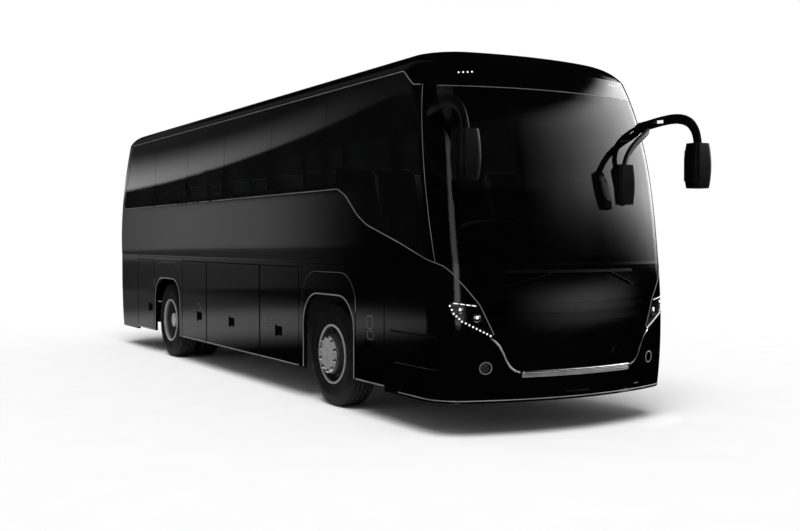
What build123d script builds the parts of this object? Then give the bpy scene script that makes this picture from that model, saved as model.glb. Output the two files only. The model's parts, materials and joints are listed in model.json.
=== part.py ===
from build123d import *
import os
from math import atan2, cos, pi, sin, sqrt

# Two-axle touring coach. Millimetres, +X forward, +Y left, +Z up, ground at Z = 0.
# The origin lies under the middle of the overall box, which the mirror heads close at the front.

# Driving dimensions
wheelbase = 5250
front_overhang = 2420
rear_overhang = 2750
mirror_reach = 180
body_width = 2550
bumper_z = 300
skirt_z = 335
waist_z = 1455
belt_z = 2180
glass_top_z = 3172
gutter_z = 3190
roof_z = 3415
deck_z = 1440

# Skin
nose_bow = 2950
tail_bow = 6000
front_corner = 340
rear_corner = 330
lower_wall = 40
upper_wall = 60
glass = 10
bond = 0.3
pane_gap = 8
frame_lap = 55

# Clearances
gap = 5
running = 0.3
touch = 0.5

# Side panels and their hinges
panel = 36
hinge_r = 12
hinge_drop = 30
lip_rise = 19
latch_width = 200
latch_height = 130
latch_depth = 12
latch_z = 670
arch_half = 565
arch_top_z = 1118
arch_corner = 330
arch_cover = 55
arch_cover_top_z = 1358
seam_width = 6
seam_depth = 5
flap_r = 60
filler_width, filler_height = 130, 130
cap_height = 91
filler_corner, cap_corner = 30, 40

# Wheels
tyre_r = 525
tyre_width = 295
bead_r = 290
flange_r = 300
flange_width = 12
wheel_y = 1093
twin_spacing = 340
spindle_r = 45
kingpin_y = 960
kingpin_r = 25

# Passenger door
door_rear = 800
door_front = 1680
door_sill_z = 360
door_top_z = 2650
door_arm = 700
post_r = 25
post_y = 1120

# Subframes
rail_y, rail_width = 390, 80
rail_low_z = 640

# Inside
hold_floor_z = 440
plate = 40
platform_z = 950
seat_rows = 10
seat_pitch = 775
seat_width = 470
aisle_half = 190

# Places that follow from the driving dimensions
front_axle = (wheelbase + rear_overhang - front_overhang - mirror_reach) / 2
rear_axle = front_axle - wheelbase
nose = front_axle + front_overhang
tail = rear_axle - rear_overhang
half = body_width / 2
axle_z = tyre_r
hinge_z = waist_z - hinge_drop
hinge_y = half - hinge_r
panel_in = half - panel

# Splits of the lower side, measured from the wheel that each one belongs to
engine_bay = 1470
arch_narrow, arch_wide = 40, 120
first_hatch_end, second_hatch_end = 3586, 1776
service_end = 1185
rear_end_x = rear_axle - engine_bay
arch_rear_back = rear_axle - arch_half - arch_narrow
arch_rear_front = rear_axle + arch_half + arch_wide
hatch_mid_1 = front_axle - first_hatch_end
hatch_mid_2 = front_axle - second_hatch_end
arch_front_back = front_axle - arch_half - arch_wide
arch_front_front = front_axle + arch_half + arch_narrow
service_front = front_axle + service_end
door_back_x = front_axle + door_rear
door_front_x = front_axle + door_front
rear_split_depth = 440
rear_split_x = tail + rear_split_depth

# Windscreen pillar line in side view
pillar_foot_back = 404
pillar_rake = 0.208
pillar_low_x = nose - pillar_foot_back


def pillar_x(z):
    return pillar_low_x - pillar_rake * (z - waist_z)


# Body sections. Columns: share of the height, side set-in, nose set-back, tail set-in
lower_levels = ((0, 0, 40, 90), (0.35, 0, 0, 15), (0.7, 0, 2, 0), (1, 0, 30, 0))
upper_levels = ((0, 0, 30, 0), (0.37, 0, 120, 30), (0.68, 30, 240, 120), (1, 78, 480, 285))
roof_levels = ((0, 78, 480, 285), (0.47, 165, 600, 350), (0.8, 350, 780, 450), (1, 740, 1080, 700))


def box(x0, x1, y0, y1, z0, z1):
    return Pos((x0 + x1) / 2, (y0 + y1) / 2, (z0 + z1) / 2) * Box(x1 - x0, y1 - y0, z1 - z0)


def outline(points, radius):
    if radius:
        return Face(Wire(FilletPolyline(*points, radius=radius, close=True).edges()))
    return Face(Wire(Polyline(*points, close=True).edges()))


def side_prism(points, y0, y1, radius=0):
    return Solid.extrude(outline([(x, y0, z) for x, z in points], radius), Vector(0, y1 - y0, 0))


def front_prism(points, x0, x1, radius=0):
    return Solid.extrude(outline([(x0, y, z) for y, z in points], radius), Vector(x1 - x0, 0, 0))


def rod(start, end, radius):
    start = Vector(start)
    along = Vector(end) - start
    return Solid.make_cylinder(radius, along.length, Plane(start, z_dir=along))


def flipped(shape):
    return mirror(shape, Plane.XZ)


def joined(pieces):
    result = pieces[0]
    for piece in pieces[1:]:
        result = result + piece
    return result


def export(name, *solids):
    flat = [s for solid in solids for s in solid.solids()]
    export_step(flat[0] if len(flat) == 1 else Compound(flat), f"parts/{name}.step")


# Plan outline of the body at one height: bowed nose and tail, round corners, straight sides
def plan_wire(z, side, front, back, inset):
    side, front, back = side - inset, front - inset, back + inset
    ends = []
    for tip, bow, corner, ahead in ((front, nose_bow, front_corner, 1), (back, tail_bow, rear_corner, -1)):
        bow, corner = bow - inset, corner - inset
        middle = tip - ahead * bow
        corner_y = side - corner
        corner_x = middle + ahead * sqrt((bow - corner) ** 2 - corner_y**2)
        lean = atan2(corner_y, ahead * (corner_x - middle))
        turn = (lean + pi / 2) / 2
        meet = (middle + ahead * bow * cos(lean), bow * sin(lean))
        mid = (corner_x + ahead * corner * cos(turn), corner_y + corner * sin(turn))
        ends.append((tip, meet, mid, (corner_x, side)))
    (f_tip, f_meet, f_mid, f_side), (b_tip, b_meet, b_mid, b_side) = ends

    def left(p):
        return (p[0], p[1], z)

    def right(p):
        return (p[0], -p[1], z)

    return Wire([
        Edge.make_three_point_arc(right(f_meet), (f_tip, 0, z), left(f_meet)),
        Edge.make_three_point_arc(left(f_meet), left(f_mid), left(f_side)),
        Edge.make_line(left(f_side), left(b_side)),
        Edge.make_three_point_arc(left(b_side), left(b_mid), left(b_meet)),
        Edge.make_three_point_arc(left(b_meet), (b_tip, 0, z), right(b_meet)),
        Edge.make_three_point_arc(right(b_meet), right(b_mid), right(b_side)),
        Edge.make_line(right(b_side), right(f_side)),
        Edge.make_three_point_arc(right(f_side), right(f_mid), right(f_meet)),
    ])


def body_loft(levels, low, high, inset=0, over_low=0, over_high=0):
    wires = []
    for share, side_in, nose_back, tail_in in levels:
        z = low + share * (high - low) - over_low * (share == 0) + over_high * (share == 1)
        wires.append(plan_wire(z, half - side_in, nose - nose_back, tail + tail_in, inset))
    return Solid.make_loft(wires)


def lower_body(inset, over=0):
    return body_loft(lower_levels, bumper_z, waist_z, inset, over, over)


def upper_body(inset, over=0):
    return body_loft(upper_levels, waist_z, gutter_z, inset, over, over)


lower_skin = lower_body(0)
upper_skin = upper_body(0)
lower_shell = lower_skin - lower_body(lower_wall, touch)
upper_shell = upper_skin - upper_body(upper_wall, touch)
glass_layer = upper_skin - upper_body(glass, touch)
glass_seat = upper_skin - upper_body(glass + bond, touch)
far = body_width

# Hinge of a top-hung flap: a round bead on the flap turns in a hollow under the rail above it


def hinge_room(x0, x1, z):
    hollow = rod((x0, -hinge_y, z), (x1, -hinge_y, z), hinge_r + running)
    lip = box(x0, x1, -half - gap, -hinge_y, z, z + lip_rise)
    return hollow + lip


def hinge_bead(x0, x1, z):
    return rod((x0, -hinge_y, z), (x1, -hinge_y, z), hinge_r)


def latch_pocket(x, z):
    return box(x - latch_width / 2, x + latch_width / 2, -half - gap, -half + latch_depth,
               z - latch_height / 2, z + latch_height / 2)


def hatch(x0, x1, latch_x, seams=()):
    x0, x1 = x0 + gap, x1 - gap
    leaf = box(x0, x1, -half, -panel_in, skirt_z, hinge_z) + hinge_bead(x0, x1, hinge_z)
    for seam in seams:
        leaf = leaf - seam
    return leaf - latch_pocket(latch_x, latch_z)


# Seam of a small flap that is let into a panel
def flap_seam(x, z, width, height, corner):
    rims = []
    for grow in (0, seam_width):
        w, h = width / 2 + grow, height / 2 + grow
        rims.append(side_prism([(x - w, z - h), (x + w, z - h), (x + w, z + h), (x - w, z + h)],
                               -half - gap, -half + seam_depth, corner + grow))
    return rims[1] - rims[0]


# Opening over a wheel, and the larger outline of the cover panel round it
def arch_mouth(centre, grow, top_z, depth):
    reach = arch_half + grow
    foot_z = skirt_z - arch_corner
    return side_prism([(centre - reach, foot_z), (centre + reach, foot_z), (centre + reach, top_z),
                       (centre - reach, top_z)], -half - gap, -half + depth, arch_corner)


def arch_panel(x0, x1, centre):
    leaf = box(x0, x1, -half, -panel_in, skirt_z, hinge_z + gap)
    seam = (arch_mouth(centre, arch_cover, arch_cover_top_z, seam_depth)
            - arch_mouth(centre, arch_cover - seam_width, arch_cover_top_z - seam_width, seam_depth))
    return leaf - seam - arch_mouth(centre, 0, arch_top_z, panel + gap)


def hinge_rail(x0, x1):
    rail = box(x0, x1, -half, -half + upper_wall, hinge_z + gap, waist_z)
    return rail - hinge_room(x0 - gap, x1 + gap, hinge_z)


# Window band of one side, and its openings
pane_joints = [front_axle + x for x in (-5880, -4430, -3000, -1530, -130, 1340)]
band_round = 50
band_end_low, band_end_high = 60, 310
sill_rise = 25
header_drop = 185
pillar_foot_z = waist_z + sill_rise
screen_top_z = gutter_z - header_drop
pillar_head_z = screen_top_z + sill_rise
# Columns: ahead of the front wheel, below the belt
knee_steps = ((230, 3), (405, 75), (660, 270), (850, 362), (1475, 533))
knee = [(front_axle + ahead, belt_z - below) for ahead, below in knee_steps]
band_rear_low = rear_split_x + band_end_low
band_rear_high = rear_split_x + band_end_high
notch_back, notch_front = front_axle + 1395, front_axle + 1585
notch = ((notch_back, glass_top_z), (notch_front, pillar_head_z + gap))
notch_lap = 0.4


def band_outline(lap):
    foot = (pillar_x(pillar_foot_z) - lap, pillar_foot_z + lap)
    head = (pillar_x(pillar_head_z) - lap, pillar_head_z - lap)
    low = [(x, z + lap) for x, z in knee]
    high = [(x - lap * notch_lap, z - lap) for x, z in reversed(notch)]
    return ([(band_rear_low + lap, belt_z + lap)] + low + [foot, head] + high
            + [(band_rear_high + lap, glass_top_z - lap)])


side_band = side_prism(band_outline(0), -far, -half / 2, band_round)
opening_band = side_prism(band_outline(frame_lap), -far, -half / 2, band_round)


def window_openings():
    posts = [box(x - frame_lap, x + frame_lap, -far, 0, waist_z, gutter_z) for x in pane_joints]
    result = opening_band
    for post in posts:
        result = result - post
    return result


def pane_slots():
    return joined([box(x - pane_gap / 2, x + pane_gap / 2, -far, 0, waist_z, gutter_z) for x in pane_joints])


os.makedirs("parts", exist_ok=True)

# Roof with its front dome
roof_outer = body_loft(roof_levels, gutter_z, roof_z)
roof_inner = body_loft(roof_levels, gutter_z, roof_z - upper_wall, upper_wall, touch)
export("roof", roof_outer - roof_inner)

# Side walls
right_region = side_prism([(rear_split_x, waist_z), (pillar_x(waist_z), waist_z), (pillar_x(gutter_z), gutter_z),
                           (rear_split_x, gutter_z)], -far, -half / 2)
openings = window_openings()
right_wall = (upper_shell & right_region) - (glass_seat & side_band) - openings
export("side_wall_right", right_wall)

left_wall_end = door_back_x - 2 * gap
left_region = box(rear_split_x, left_wall_end, half / 2, far, waist_z, gutter_z)
left_trim = box(tail, left_wall_end - frame_lap, 0, far, waist_z, gutter_z)
left_open_trim = box(tail, left_wall_end - 2 * frame_lap, 0, far, waist_z, gutter_z)
left_band = flipped(side_band) & left_trim
left_wall = (upper_shell & left_region) - (glass_seat & left_band) - (flipped(openings) & left_open_trim)
export("side_wall_left", left_wall)

# Windscreen frame, with the header over the door and the post ahead of it
header_z = door_top_z + 2 * gap
post_front = door_front_x + 2 * gap
front_half = [(pillar_x(waist_z), waist_z), (nose, waist_z), (nose, gutter_z), (pillar_x(gutter_z), gutter_z)]
left_front = [(post_front, waist_z), (nose, waist_z), (nose, gutter_z), (left_wall_end, gutter_z),
              (left_wall_end, header_z), (post_front, header_z)]
screen_region = side_prism(front_half, -far, 0) + side_prism(left_front, 0, far)
screen_glass_region = side_prism([(pillar_x(pillar_foot_z) + gap, pillar_foot_z), (nose, pillar_foot_z),
                                  (nose, screen_top_z), (pillar_x(screen_top_z) + gap, screen_top_z)], -far, far)
hole_low_half, hole_high_half = half * 0.87, half * 0.8
screen_hole = front_prism([(-hole_low_half, pillar_foot_z + frame_lap), (hole_low_half, pillar_foot_z + frame_lap),
                           (hole_high_half, screen_top_z - frame_lap), (-hole_high_half, screen_top_z - frame_lap)],
                          pillar_x(gutter_z), nose)
screen_frame = (upper_shell & screen_region) - (glass_seat & screen_glass_region) - screen_hole
export("windscreen_frame", screen_frame)

# Rear wall with its window
rear_region = box(tail - gap, rear_split_x, -far, far, waist_z, gutter_z)
window_half, window_taper = 1000, 80
window_below, window_under = 40, 200
window_low = belt_z - window_below
window_high = gutter_z - window_under


def rear_window(lap):
    y, low, high = window_half - lap, window_low + lap, window_high - lap
    return front_prism([(-y, low), (y, low), (y - window_taper, high), (-y + window_taper, high)],
                       tail - gap, rear_split_x)


rear_wall = (upper_shell & rear_region) - (glass_seat & rear_window(0)) - rear_window(frame_lap)
export("rear_wall", rear_wall)

# Glazing: bonded panes
right_panes = (glass_layer & side_band) - pane_slots()
left_panes = (glass_layer & left_band) - flipped(pane_slots())
screen_pane = glass_layer & screen_glass_region
rear_pane = glass_layer & rear_window(0)
export("glazing", right_panes, left_panes, rear_pane)
export("windscreen", screen_pane)

# Front cap with the bumper, the nose panel and the lamps
lamp_drop = 295
lamp_depth = 640
lamp_top = waist_z - lamp_drop
lamp_outline = [(1198, lamp_top), (964, lamp_top - 35), (850, lamp_top - 280), (872, lamp_top - 305),
                (1120, lamp_top - 175), (1180, lamp_top - 90)]
lamp_barrels = ((1115, lamp_top - 70), (985, lamp_top - 140))
barrel_lamp_r = 34
lamp_back_x = nose - lamp_depth
fog_y, fog_z, fog_r = 910, 600, 46
tow_rise, tow_set_in = 60, 70
tow_y, tow_z = rail_y, rail_low_z + tow_rise
tow_outer_r, tow_thread_r, tow_depth = 34, 20, 120
tow_mouth_x = nose - tow_set_in
nose_outline = [(0, 575), (600, 575), (650, 600), (843, lamp_top - 285), (957, lamp_top - 30), (1110, waist_z - 130),
                (1200, waist_z), (0, waist_z)]
slat_heights = [waist_z - drop for drop in (310, 395, 485)]
slat_half_height = 14
slat_half_width = 880
slat_depth = 25
slot_z0, slot_z1 = 360, 385
slot_in, slot_out, slot_middle = 700, 850, 160
locker_start, locker_end = 1295, 2046
locker_x0, locker_x1 = front_axle + locker_start, front_axle + locker_end
locker_z0, locker_z1 = 580, 865
locker_hinge_z = locker_z1 - hinge_r


def both(shape):
    return shape + flipped(shape)


def lamp_prism():
    return front_prism([(-y, z) for y, z in lamp_outline], lamp_back_x, nose)


front_region = (box(service_front, nose + gap, -far, 0, bumper_z, waist_z)
                + box(post_front, nose + gap, 0, far, bumper_z, waist_z))
nose_points = [(-y, z) for y, z in nose_outline] + [(y, z) for y, z in reversed(nose_outline[1:-1])]
nose_region = front_prism(nose_points, lamp_back_x, nose + gap)
lamp_holes = both(lamp_prism())
fog_axis = [(side * fog_y, fog_z) for side in (-1, 1)]
fog_holes = joined([rod((lamp_back_x, y, z), (nose, y, z), fog_r + running) for y, z in fog_axis])
locker_room = (box(locker_x0, locker_x1, -far, -half / 2, locker_z0, locker_hinge_z + gap)
               + hinge_room(locker_x0, locker_x1, locker_hinge_z))
tow_hole = rod((lamp_back_x, tow_y, tow_z), (nose, tow_y, tow_z), tow_outer_r + gap)
slat_layer = lower_skin - lower_body(slat_depth, touch)
bumper_slots = joined([box(lamp_back_x, nose + gap, y0, y1, slot_z0, slot_z1)
                       for y0, y1 in ((-slot_out, -slot_in), (-slot_middle, slot_middle), (slot_in, slot_out))])
front_cap = ((lower_shell & front_region) - nose_region - lamp_holes - fog_holes - locker_room
             - (slat_layer & bumper_slots))
export("front_cap", front_cap)

slats = joined([box(lamp_back_x, nose + gap, -slat_half_width, slat_half_width,
                    z - slat_half_height, z + slat_half_height) for z in slat_heights])
export("nose_panel", (lower_shell & nose_region) - lamp_holes - tow_hole - (slat_layer & slats))

lens_layer = lower_skin - lower_body(glass, touch)
bowl_layer = lower_body(glass + gap) - lower_body(lower_wall + gap, touch)
lenses = lens_layer & lamp_holes
lamp_room = lower_body(glass + gap) - lower_body(lower_wall, touch)
barrels = joined([rod((lamp_back_x, -y, z), (nose, -y, z), barrel_lamp_r) for y, z in lamp_barrels])
bowls = (bowl_layer & lamp_holes) + (lamp_room & both(barrels))
fogs = lower_shell & joined([rod((lamp_back_x, y, z), (nose, y, z), fog_r) for y, z in fog_axis])
export("front_lamps", lenses, bowls, fogs)

# Front locker flap
flap_x0, flap_x1 = locker_x0 + gap, locker_x1 - gap
flap_layer = lower_skin - lower_body(panel, touch)
bead_spare = 200
bead_end = nose - front_corner - bead_spare
locker_flap = ((flap_layer & box(flap_x0, flap_x1, -far, -half / 2, locker_z0 + gap, locker_hinge_z))
               + hinge_bead(flap_x0, bead_end, locker_hinge_z))
export("locker_flap_right", locker_flap)

# Lower side: rails, arch panels, hatches and flaps
right_rail = hinge_rail(rear_end_x, service_front)
left_rail = flipped(hinge_rail(rear_end_x, left_wall_end))
export("hinge_rails", right_rail, left_rail)

export("arch_panels",
       arch_panel(arch_front_back, arch_front_front, front_axle),
       arch_panel(arch_rear_back, arch_rear_front, rear_axle),
       flipped(arch_panel(arch_front_back, left_wall_end, front_axle)),
       flipped(arch_panel(rear_end_x, arch_rear_front, rear_axle)))

# Columns: behind the front wheel, height
drain_places = ((3876, 788), (1458, 763))
drain_flaps = [flap_seam(front_axle - back, z, 2 * flap_r, 2 * flap_r, flap_r - touch) for back, z in drain_places]
first_latch, engine_latch = 274, 200
# Columns: number, rear edge, front edge, latch, seams
hatch_rows = ((1, arch_rear_front, hatch_mid_1, hatch_mid_1 - first_latch, drain_flaps[:1]),
              (2, hatch_mid_1, hatch_mid_2, (hatch_mid_1 + hatch_mid_2) / 2, ()),
              (3, hatch_mid_2, arch_front_back, (hatch_mid_2 + arch_front_back) / 2, drain_flaps[1:]))
for number, x0, x1, latch_x, seams in hatch_rows:
    leaf = hatch(x0, x1, latch_x, seams)
    export(f"hatch_right_{number}", leaf)
    export(f"hatch_left_{number}", flipped(leaf))
# Columns: ahead of the front wheel, height, flap height, corner
filler_rows = ((897, 910, filler_height, filler_corner), (916, 790, cap_height, cap_corner))
fillers = [flap_seam(front_axle + ahead, z, filler_width, height, corner) for ahead, z, height, corner in filler_rows]
export("service_flap_right", hatch(arch_front_front, service_front, (arch_front_front + service_front) / 2, fillers))
export("engine_flap_right", hatch(rear_end_x, arch_rear_back, arch_rear_back - engine_latch))

# Rear cap with the bumper, engine lid and tail lamps
lid_half = 860
lid_low_z = 640
lid_top_z = waist_z - hinge_drop
lid_hinge_x = tail + hinge_r
lid_hinge_half = 240
lid_reach = 300
louvre_count, louvre_first, louvre_pitch, louvre_half = 8, 150, 55, 10
louvre_width = lid_half * 0.7
tail_lamp_y0, tail_lamp_y1 = 960, 1130
tail_lamp_z0, tail_lamp_z1 = 760, 1380
rear_low_region = box(tail - gap, rear_end_x, -far, far, bumper_z, waist_z)
lid_hinge_room = (rod((lid_hinge_x, -lid_half, lid_top_z), (lid_hinge_x, lid_half, lid_top_z), hinge_r + running)
                  + box(tail - gap, lid_hinge_x, -lid_half, lid_half, lid_top_z, lid_top_z + lip_rise))
lid_room = box(tail - gap, tail + lid_reach, -lid_half, lid_half, lid_low_z, lid_top_z + gap) + lid_hinge_room


def tail_lamp_block(y_side):
    y0, y1 = sorted((y_side * tail_lamp_y0, y_side * tail_lamp_y1))
    return box(tail - gap, tail + rear_corner, y0, y1, tail_lamp_z0, tail_lamp_z1)


lamp_blocks = tail_lamp_block(-1) + tail_lamp_block(1)
rear_cap = (lower_shell & rear_low_region) - lid_room - lamp_blocks
export("rear_cap", rear_cap)
export("tail_lamps", lower_shell & lamp_blocks)

lid_layer = lower_skin - lower_body(panel, touch)
lid = lid_layer & box(tail - gap, tail + lid_reach, -lid_half + gap, lid_half - gap, lid_low_z + gap, lid_top_z)
louvre_heights = [lid_low_z + louvre_first + louvre_pitch * i for i in range(louvre_count)]
louvres = joined([box(tail - gap, tail + lid_reach, -louvre_width, louvre_width, z - louvre_half, z + louvre_half)
                  for z in louvre_heights])
lid = (lid - (louvres & (lower_skin - lower_body(latch_depth, touch)))
       + rod((lid_hinge_x, -lid_hinge_half, lid_top_z), (lid_hinge_x, lid_hinge_half, lid_top_z), hinge_r))
export("engine_lid", lid)

# Passenger door: leaf, glass, and a turning post with two arms that carry the leaf parallel to the side
door_layer_low = lower_skin - lower_body(panel, touch)
door_layer_high = upper_skin - upper_body(panel, touch)
door_low_box = box(door_back_x, door_front_x, half / 2, far, door_sill_z, waist_z)
door_high_box = box(door_back_x, door_front_x, half / 2, far, waist_z, door_top_z)
door_stile, door_rail = 90, 110
door_pane_back_z, door_pane_front_z = belt_z - 700, belt_z - 800
door_pane_round = 60
door_window = side_prism([(door_back_x + door_stile, door_pane_back_z), (door_front_x - door_stile, door_pane_front_z),
                          (door_front_x - door_stile, door_top_z - door_rail),
                          (door_back_x + door_stile, door_top_z - door_rail)], half / 2, far, door_pane_round)
post_set_in = 80
post_x = door_front_x - post_set_in
pivot_x = post_x - door_arm
arm_heights = (700, 2300)
arm_half = 15
arm_height = 60
pin_r = 12
arm_eye_r = 20
bracket_half = 40
door_leaf = (door_layer_low & door_low_box) + (door_layer_high & door_high_box) - door_window
for z in arm_heights:
    bracket = box(pivot_x - bracket_half, pivot_x + bracket_half, post_y - bracket_half, half - panel + touch,
                  z + arm_height / 2 + running, z + arm_height)
    door_leaf = door_leaf + bracket - rod((pivot_x, post_y, z), (pivot_x, post_y, z + far), pin_r + running)
export("door_leaf", door_leaf)
export("door_glass", ((upper_skin - upper_body(glass, touch)) & door_window)
       + ((lower_skin - lower_body(glass, touch)) & door_window))

post_low_z = 420
post_head = 40
door_post = rod((post_x, post_y, post_low_z), (post_x, post_y, header_z + post_head), post_r)
for z in arm_heights:
    door_post = (door_post + box(pivot_x, post_x, post_y - arm_half, post_y + arm_half,
                                 z - arm_height / 2, z + arm_height / 2)
                 + rod((pivot_x, post_y, z - arm_height / 2), (pivot_x, post_y, z + arm_height), pin_r)
                 + rod((pivot_x, post_y, z - arm_height / 2), (pivot_x, post_y, z + arm_height / 2), arm_eye_r))
export("door_arms", door_post)

# Floor: deck over the hold, driver's platform and the entry steps
deck_half = half - upper_wall
stair_length = 480
deck_front = service_front - stair_length
dash_set_in = 320
platform_front = nose - dash_set_in
stair_y = 480
step_count = 3
first_step_z = 400
shelf_set_in, shelf_half = 200, half * 0.66
platform_half = half * 0.82
foot_half, foot_rise = 60, 30
deck = box(rear_split_x, deck_front, -deck_half, deck_half, deck_z - plate - gap, deck_z)
shelf = box(tail + shelf_set_in, rear_split_x, -shelf_half, shelf_half, deck_z - plate - gap, deck_z)
platform = box(service_front, platform_front, -platform_half, stair_y, platform_z - plate, platform_z)
stair_treads = 3
stair_going = (service_front - deck_front) / stair_treads
stair_rise = (deck_z - platform_z) / (stair_treads + 1)
stair = [box(deck_front + i * stair_going, deck_front + (i + 1) * stair_going, -stair_y, stair_y,
             platform_z - plate, deck_z - (i + 1) * stair_rise) for i in range(stair_treads)]
riser = box(deck_front - plate, deck_front, -stair_y, stair_y, platform_z - plate, deck_z)
well_out = half - panel - 2 * gap
post_foot = box(post_x - foot_half, post_x + foot_half, post_y - foot_half, well_out, first_step_z - plate,
                post_low_z + foot_rise)
entry_rise = (platform_z - first_step_z) / step_count
entry_going = (well_out - stair_y) / step_count
entry = [box(door_back_x + gap, door_front_x - gap, stair_y - plate, well_out - i * entry_going,
             first_step_z - plate, first_step_z + i * entry_rise) for i in range(step_count)]
entry_wall = box(door_back_x + gap, door_front_x - gap, stair_y - plate, stair_y, first_step_z - plate, platform_z)
floor = joined([deck, shelf, platform, riser, entry_wall, post_foot] + stair + entry)
floor = floor - rod((post_x, post_y, post_low_z), (post_x, post_y, post_low_z + far), post_r + running)
export("cabin_floor", floor)

# Luggage hold between the axles
hold_back, hold_front = arch_rear_front, arch_front_back
hold_side = half - panel - 2 * gap
hold = box(hold_back, hold_front, -hold_side, hold_side, hold_floor_z - plate, hold_floor_z)
hold_head = deck_z - plate - gap
for x0, x1 in ((hold_back - plate, hold_back), (hold_front, hold_front + plate)):
    hold = hold + box(x0, x1, -panel_in, panel_in, hold_floor_z - plate, hold_head)
hold_post = 70
for x in (hatch_mid_1, hatch_mid_2):
    for y0, y1 in ((-hold_side, -hold_side + hold_post), (hold_side - hold_post, hold_side)):
        hold = hold + box(x - plate, x + plate, y0, y1, hold_floor_z - plate, hold_head)
export("luggage_hold", hold)

# Subframes fore and aft of the hold
rail_top_z = platform_z - plate
rear_rail_rise, rear_rail_tail, member_set_in = 60, 300, 60
rear_rail_z = rail_low_z + rear_rail_rise


def rail_pair(x0, x1, z0, z1):
    return [box(x0, x1, y - rail_width / 2, y + rail_width / 2, z0, z1) for y in (-rail_y, rail_y)]


def cross_member(x, z0, z1):
    return box(x - rail_width / 2, x + rail_width / 2, -rail_y, rail_y, z0, z1)


front_frame_start = hold_front + plate
front_rails = rail_pair(front_frame_start, platform_front, rail_low_z, rail_top_z)
rear_rails = rail_pair(rear_end_x - rear_rail_tail, hold_back - plate, rear_rail_z, rail_top_z)
member_places = (front_frame_start + member_set_in, service_front, platform_front - member_set_in)
front_subframe = joined(front_rails + [cross_member(x, rail_low_z, rail_top_z) for x in member_places])
rear_subframe = joined(rear_rails + [cross_member(hold_back - plate - member_set_in, rear_rail_z, rail_top_z)])
export("subframes", front_subframe, rear_subframe)

# Threaded socket for the towing eye, from the front cross member to the bumper's face
tow_socket = (rod((platform_front, tow_y, tow_z), (tow_mouth_x, tow_y, tow_z), tow_outer_r)
              - rod((tow_mouth_x - tow_depth, tow_y, tow_z), (tow_mouth_x, tow_y, tow_z), tow_thread_r))
export("tow_socket", tow_socket)

# Inner walls of the wheel housings, under the deck
housing_y = 545
housing_rise = 110
housing_low_z = axle_z + housing_rise
housing_spans = ((arch_rear_back, hold_back - plate), (hold_front + plate, arch_front_front))
housings = [box(x0, x1, side * housing_y - plate / 4, side * housing_y + plate / 4, housing_low_z, hold_head)
            for x0, x1 in housing_spans for side in (-1, 1)]
export("wheel_housings", *housings)

# Engine and gearbox as one plain mass on the rear subframe
engine_half, engine_z0, engine_z1 = 340, 450, 1250
engine_back, engine_front = rear_end_x - 800, rear_axle - 900
gearbox_half, gearbox_z0, gearbox_z1 = 230, 420, 820
gearbox_front, shaft_end = rear_axle - 420, rear_axle - 160
shaft_r = 50
engine = box(engine_back, engine_front, -engine_half, engine_half, engine_z0, engine_z1)
gearbox = box(engine_front - touch, gearbox_front, -gearbox_half, gearbox_half, gearbox_z0, gearbox_z1)
shaft = rod((gearbox_front - touch, 0, axle_z), (shaft_end, 0, axle_z), shaft_r)
engine = engine + gearbox + shaft
export("engine", engine)

# Front axle beam with kingpin eyes, and air bellows up to the frame
eye_r, eye_low, eye_high = 60, 430, 620
beam_half, beam_z0, beam_z1 = 55, 440, 540
bellows_r = 110
front_axle_solid = box(front_axle - beam_half, front_axle + beam_half, -kingpin_y, kingpin_y, beam_z0, beam_z1)
for side in (-1, 1):
    eye = rod((front_axle, side * kingpin_y, eye_low), (front_axle, side * kingpin_y, eye_high), eye_r)
    bellows = rod((front_axle, side * rail_y, beam_z1 - touch), (front_axle, side * rail_y, rail_low_z), bellows_r)
    front_axle_solid = front_axle_solid + eye + bellows
for side in (-1, 1):
    front_axle_solid = front_axle_solid - rod((front_axle, side * kingpin_y, 0), (front_axle, side * kingpin_y, far),
                                              kingpin_r + running)
export("front_axle", front_axle_solid)

# Rear axle with its final drive and bellows
rear_spindle_r, rear_spindle_out = 60, 60
casing_r, casing_half, drive_r = 95, 520, 190
hub_end = wheel_y + rear_spindle_out
rear_axle_solid = (rod((rear_axle, -hub_end, axle_z), (rear_axle, hub_end, axle_z), rear_spindle_r)
                   + rod((rear_axle, -casing_half, axle_z), (rear_axle, casing_half, axle_z), casing_r)
                   + Pos(rear_axle, 0, axle_z) * Sphere(drive_r))
for side in (-1, 1):
    rear_axle_solid = rear_axle_solid + rod((rear_axle, side * rail_y, axle_z),
                                            (rear_axle, side * rail_y, rear_rail_z), bellows_r)
rear_axle_solid = rear_axle_solid - shaft
export("rear_axle", rear_axle_solid)

# Knuckles: kingpin with a fork round the eye, and the spindle
fork_r, fork_height, fork_back, lug_lap = 58, 40, 35, 20
spindle_out = 130
spindle_end = wheel_y + spindle_out


def knuckle(side):
    y = side * kingpin_y
    low_z, high_z = eye_low - fork_height, eye_high + fork_height
    pin = rod((front_axle, y, low_z), (front_axle, y, high_z), kingpin_r)
    low = rod((front_axle, y, low_z), (front_axle, y, eye_low - running), fork_r)
    high = rod((front_axle, y, eye_high + running), (front_axle, y, high_z), fork_r)
    y0, y1 = sorted((y + side * (eye_r + gap), y + side * (eye_r + fork_back)))
    back = box(front_axle - fork_r, front_axle + fork_r, y0, y1, low_z, high_z)
    y2, y3 = sorted((y, y + side * (eye_r + lug_lap)))
    lugs = [box(front_axle - fork_r, front_axle + fork_r, y2, y3, z0, z1)
            for z0, z1 in ((low_z, eye_low - running), (eye_high + running, high_z))]
    spindle = rod((front_axle, y1 if side > 0 else y0, axle_z), (front_axle, side * spindle_end, axle_z), spindle_r)
    return joined([pin, low, high, back] + lugs + [spindle])


export("knuckle_left", knuckle(1))
export("knuckle_right", knuckle(-1))


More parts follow.
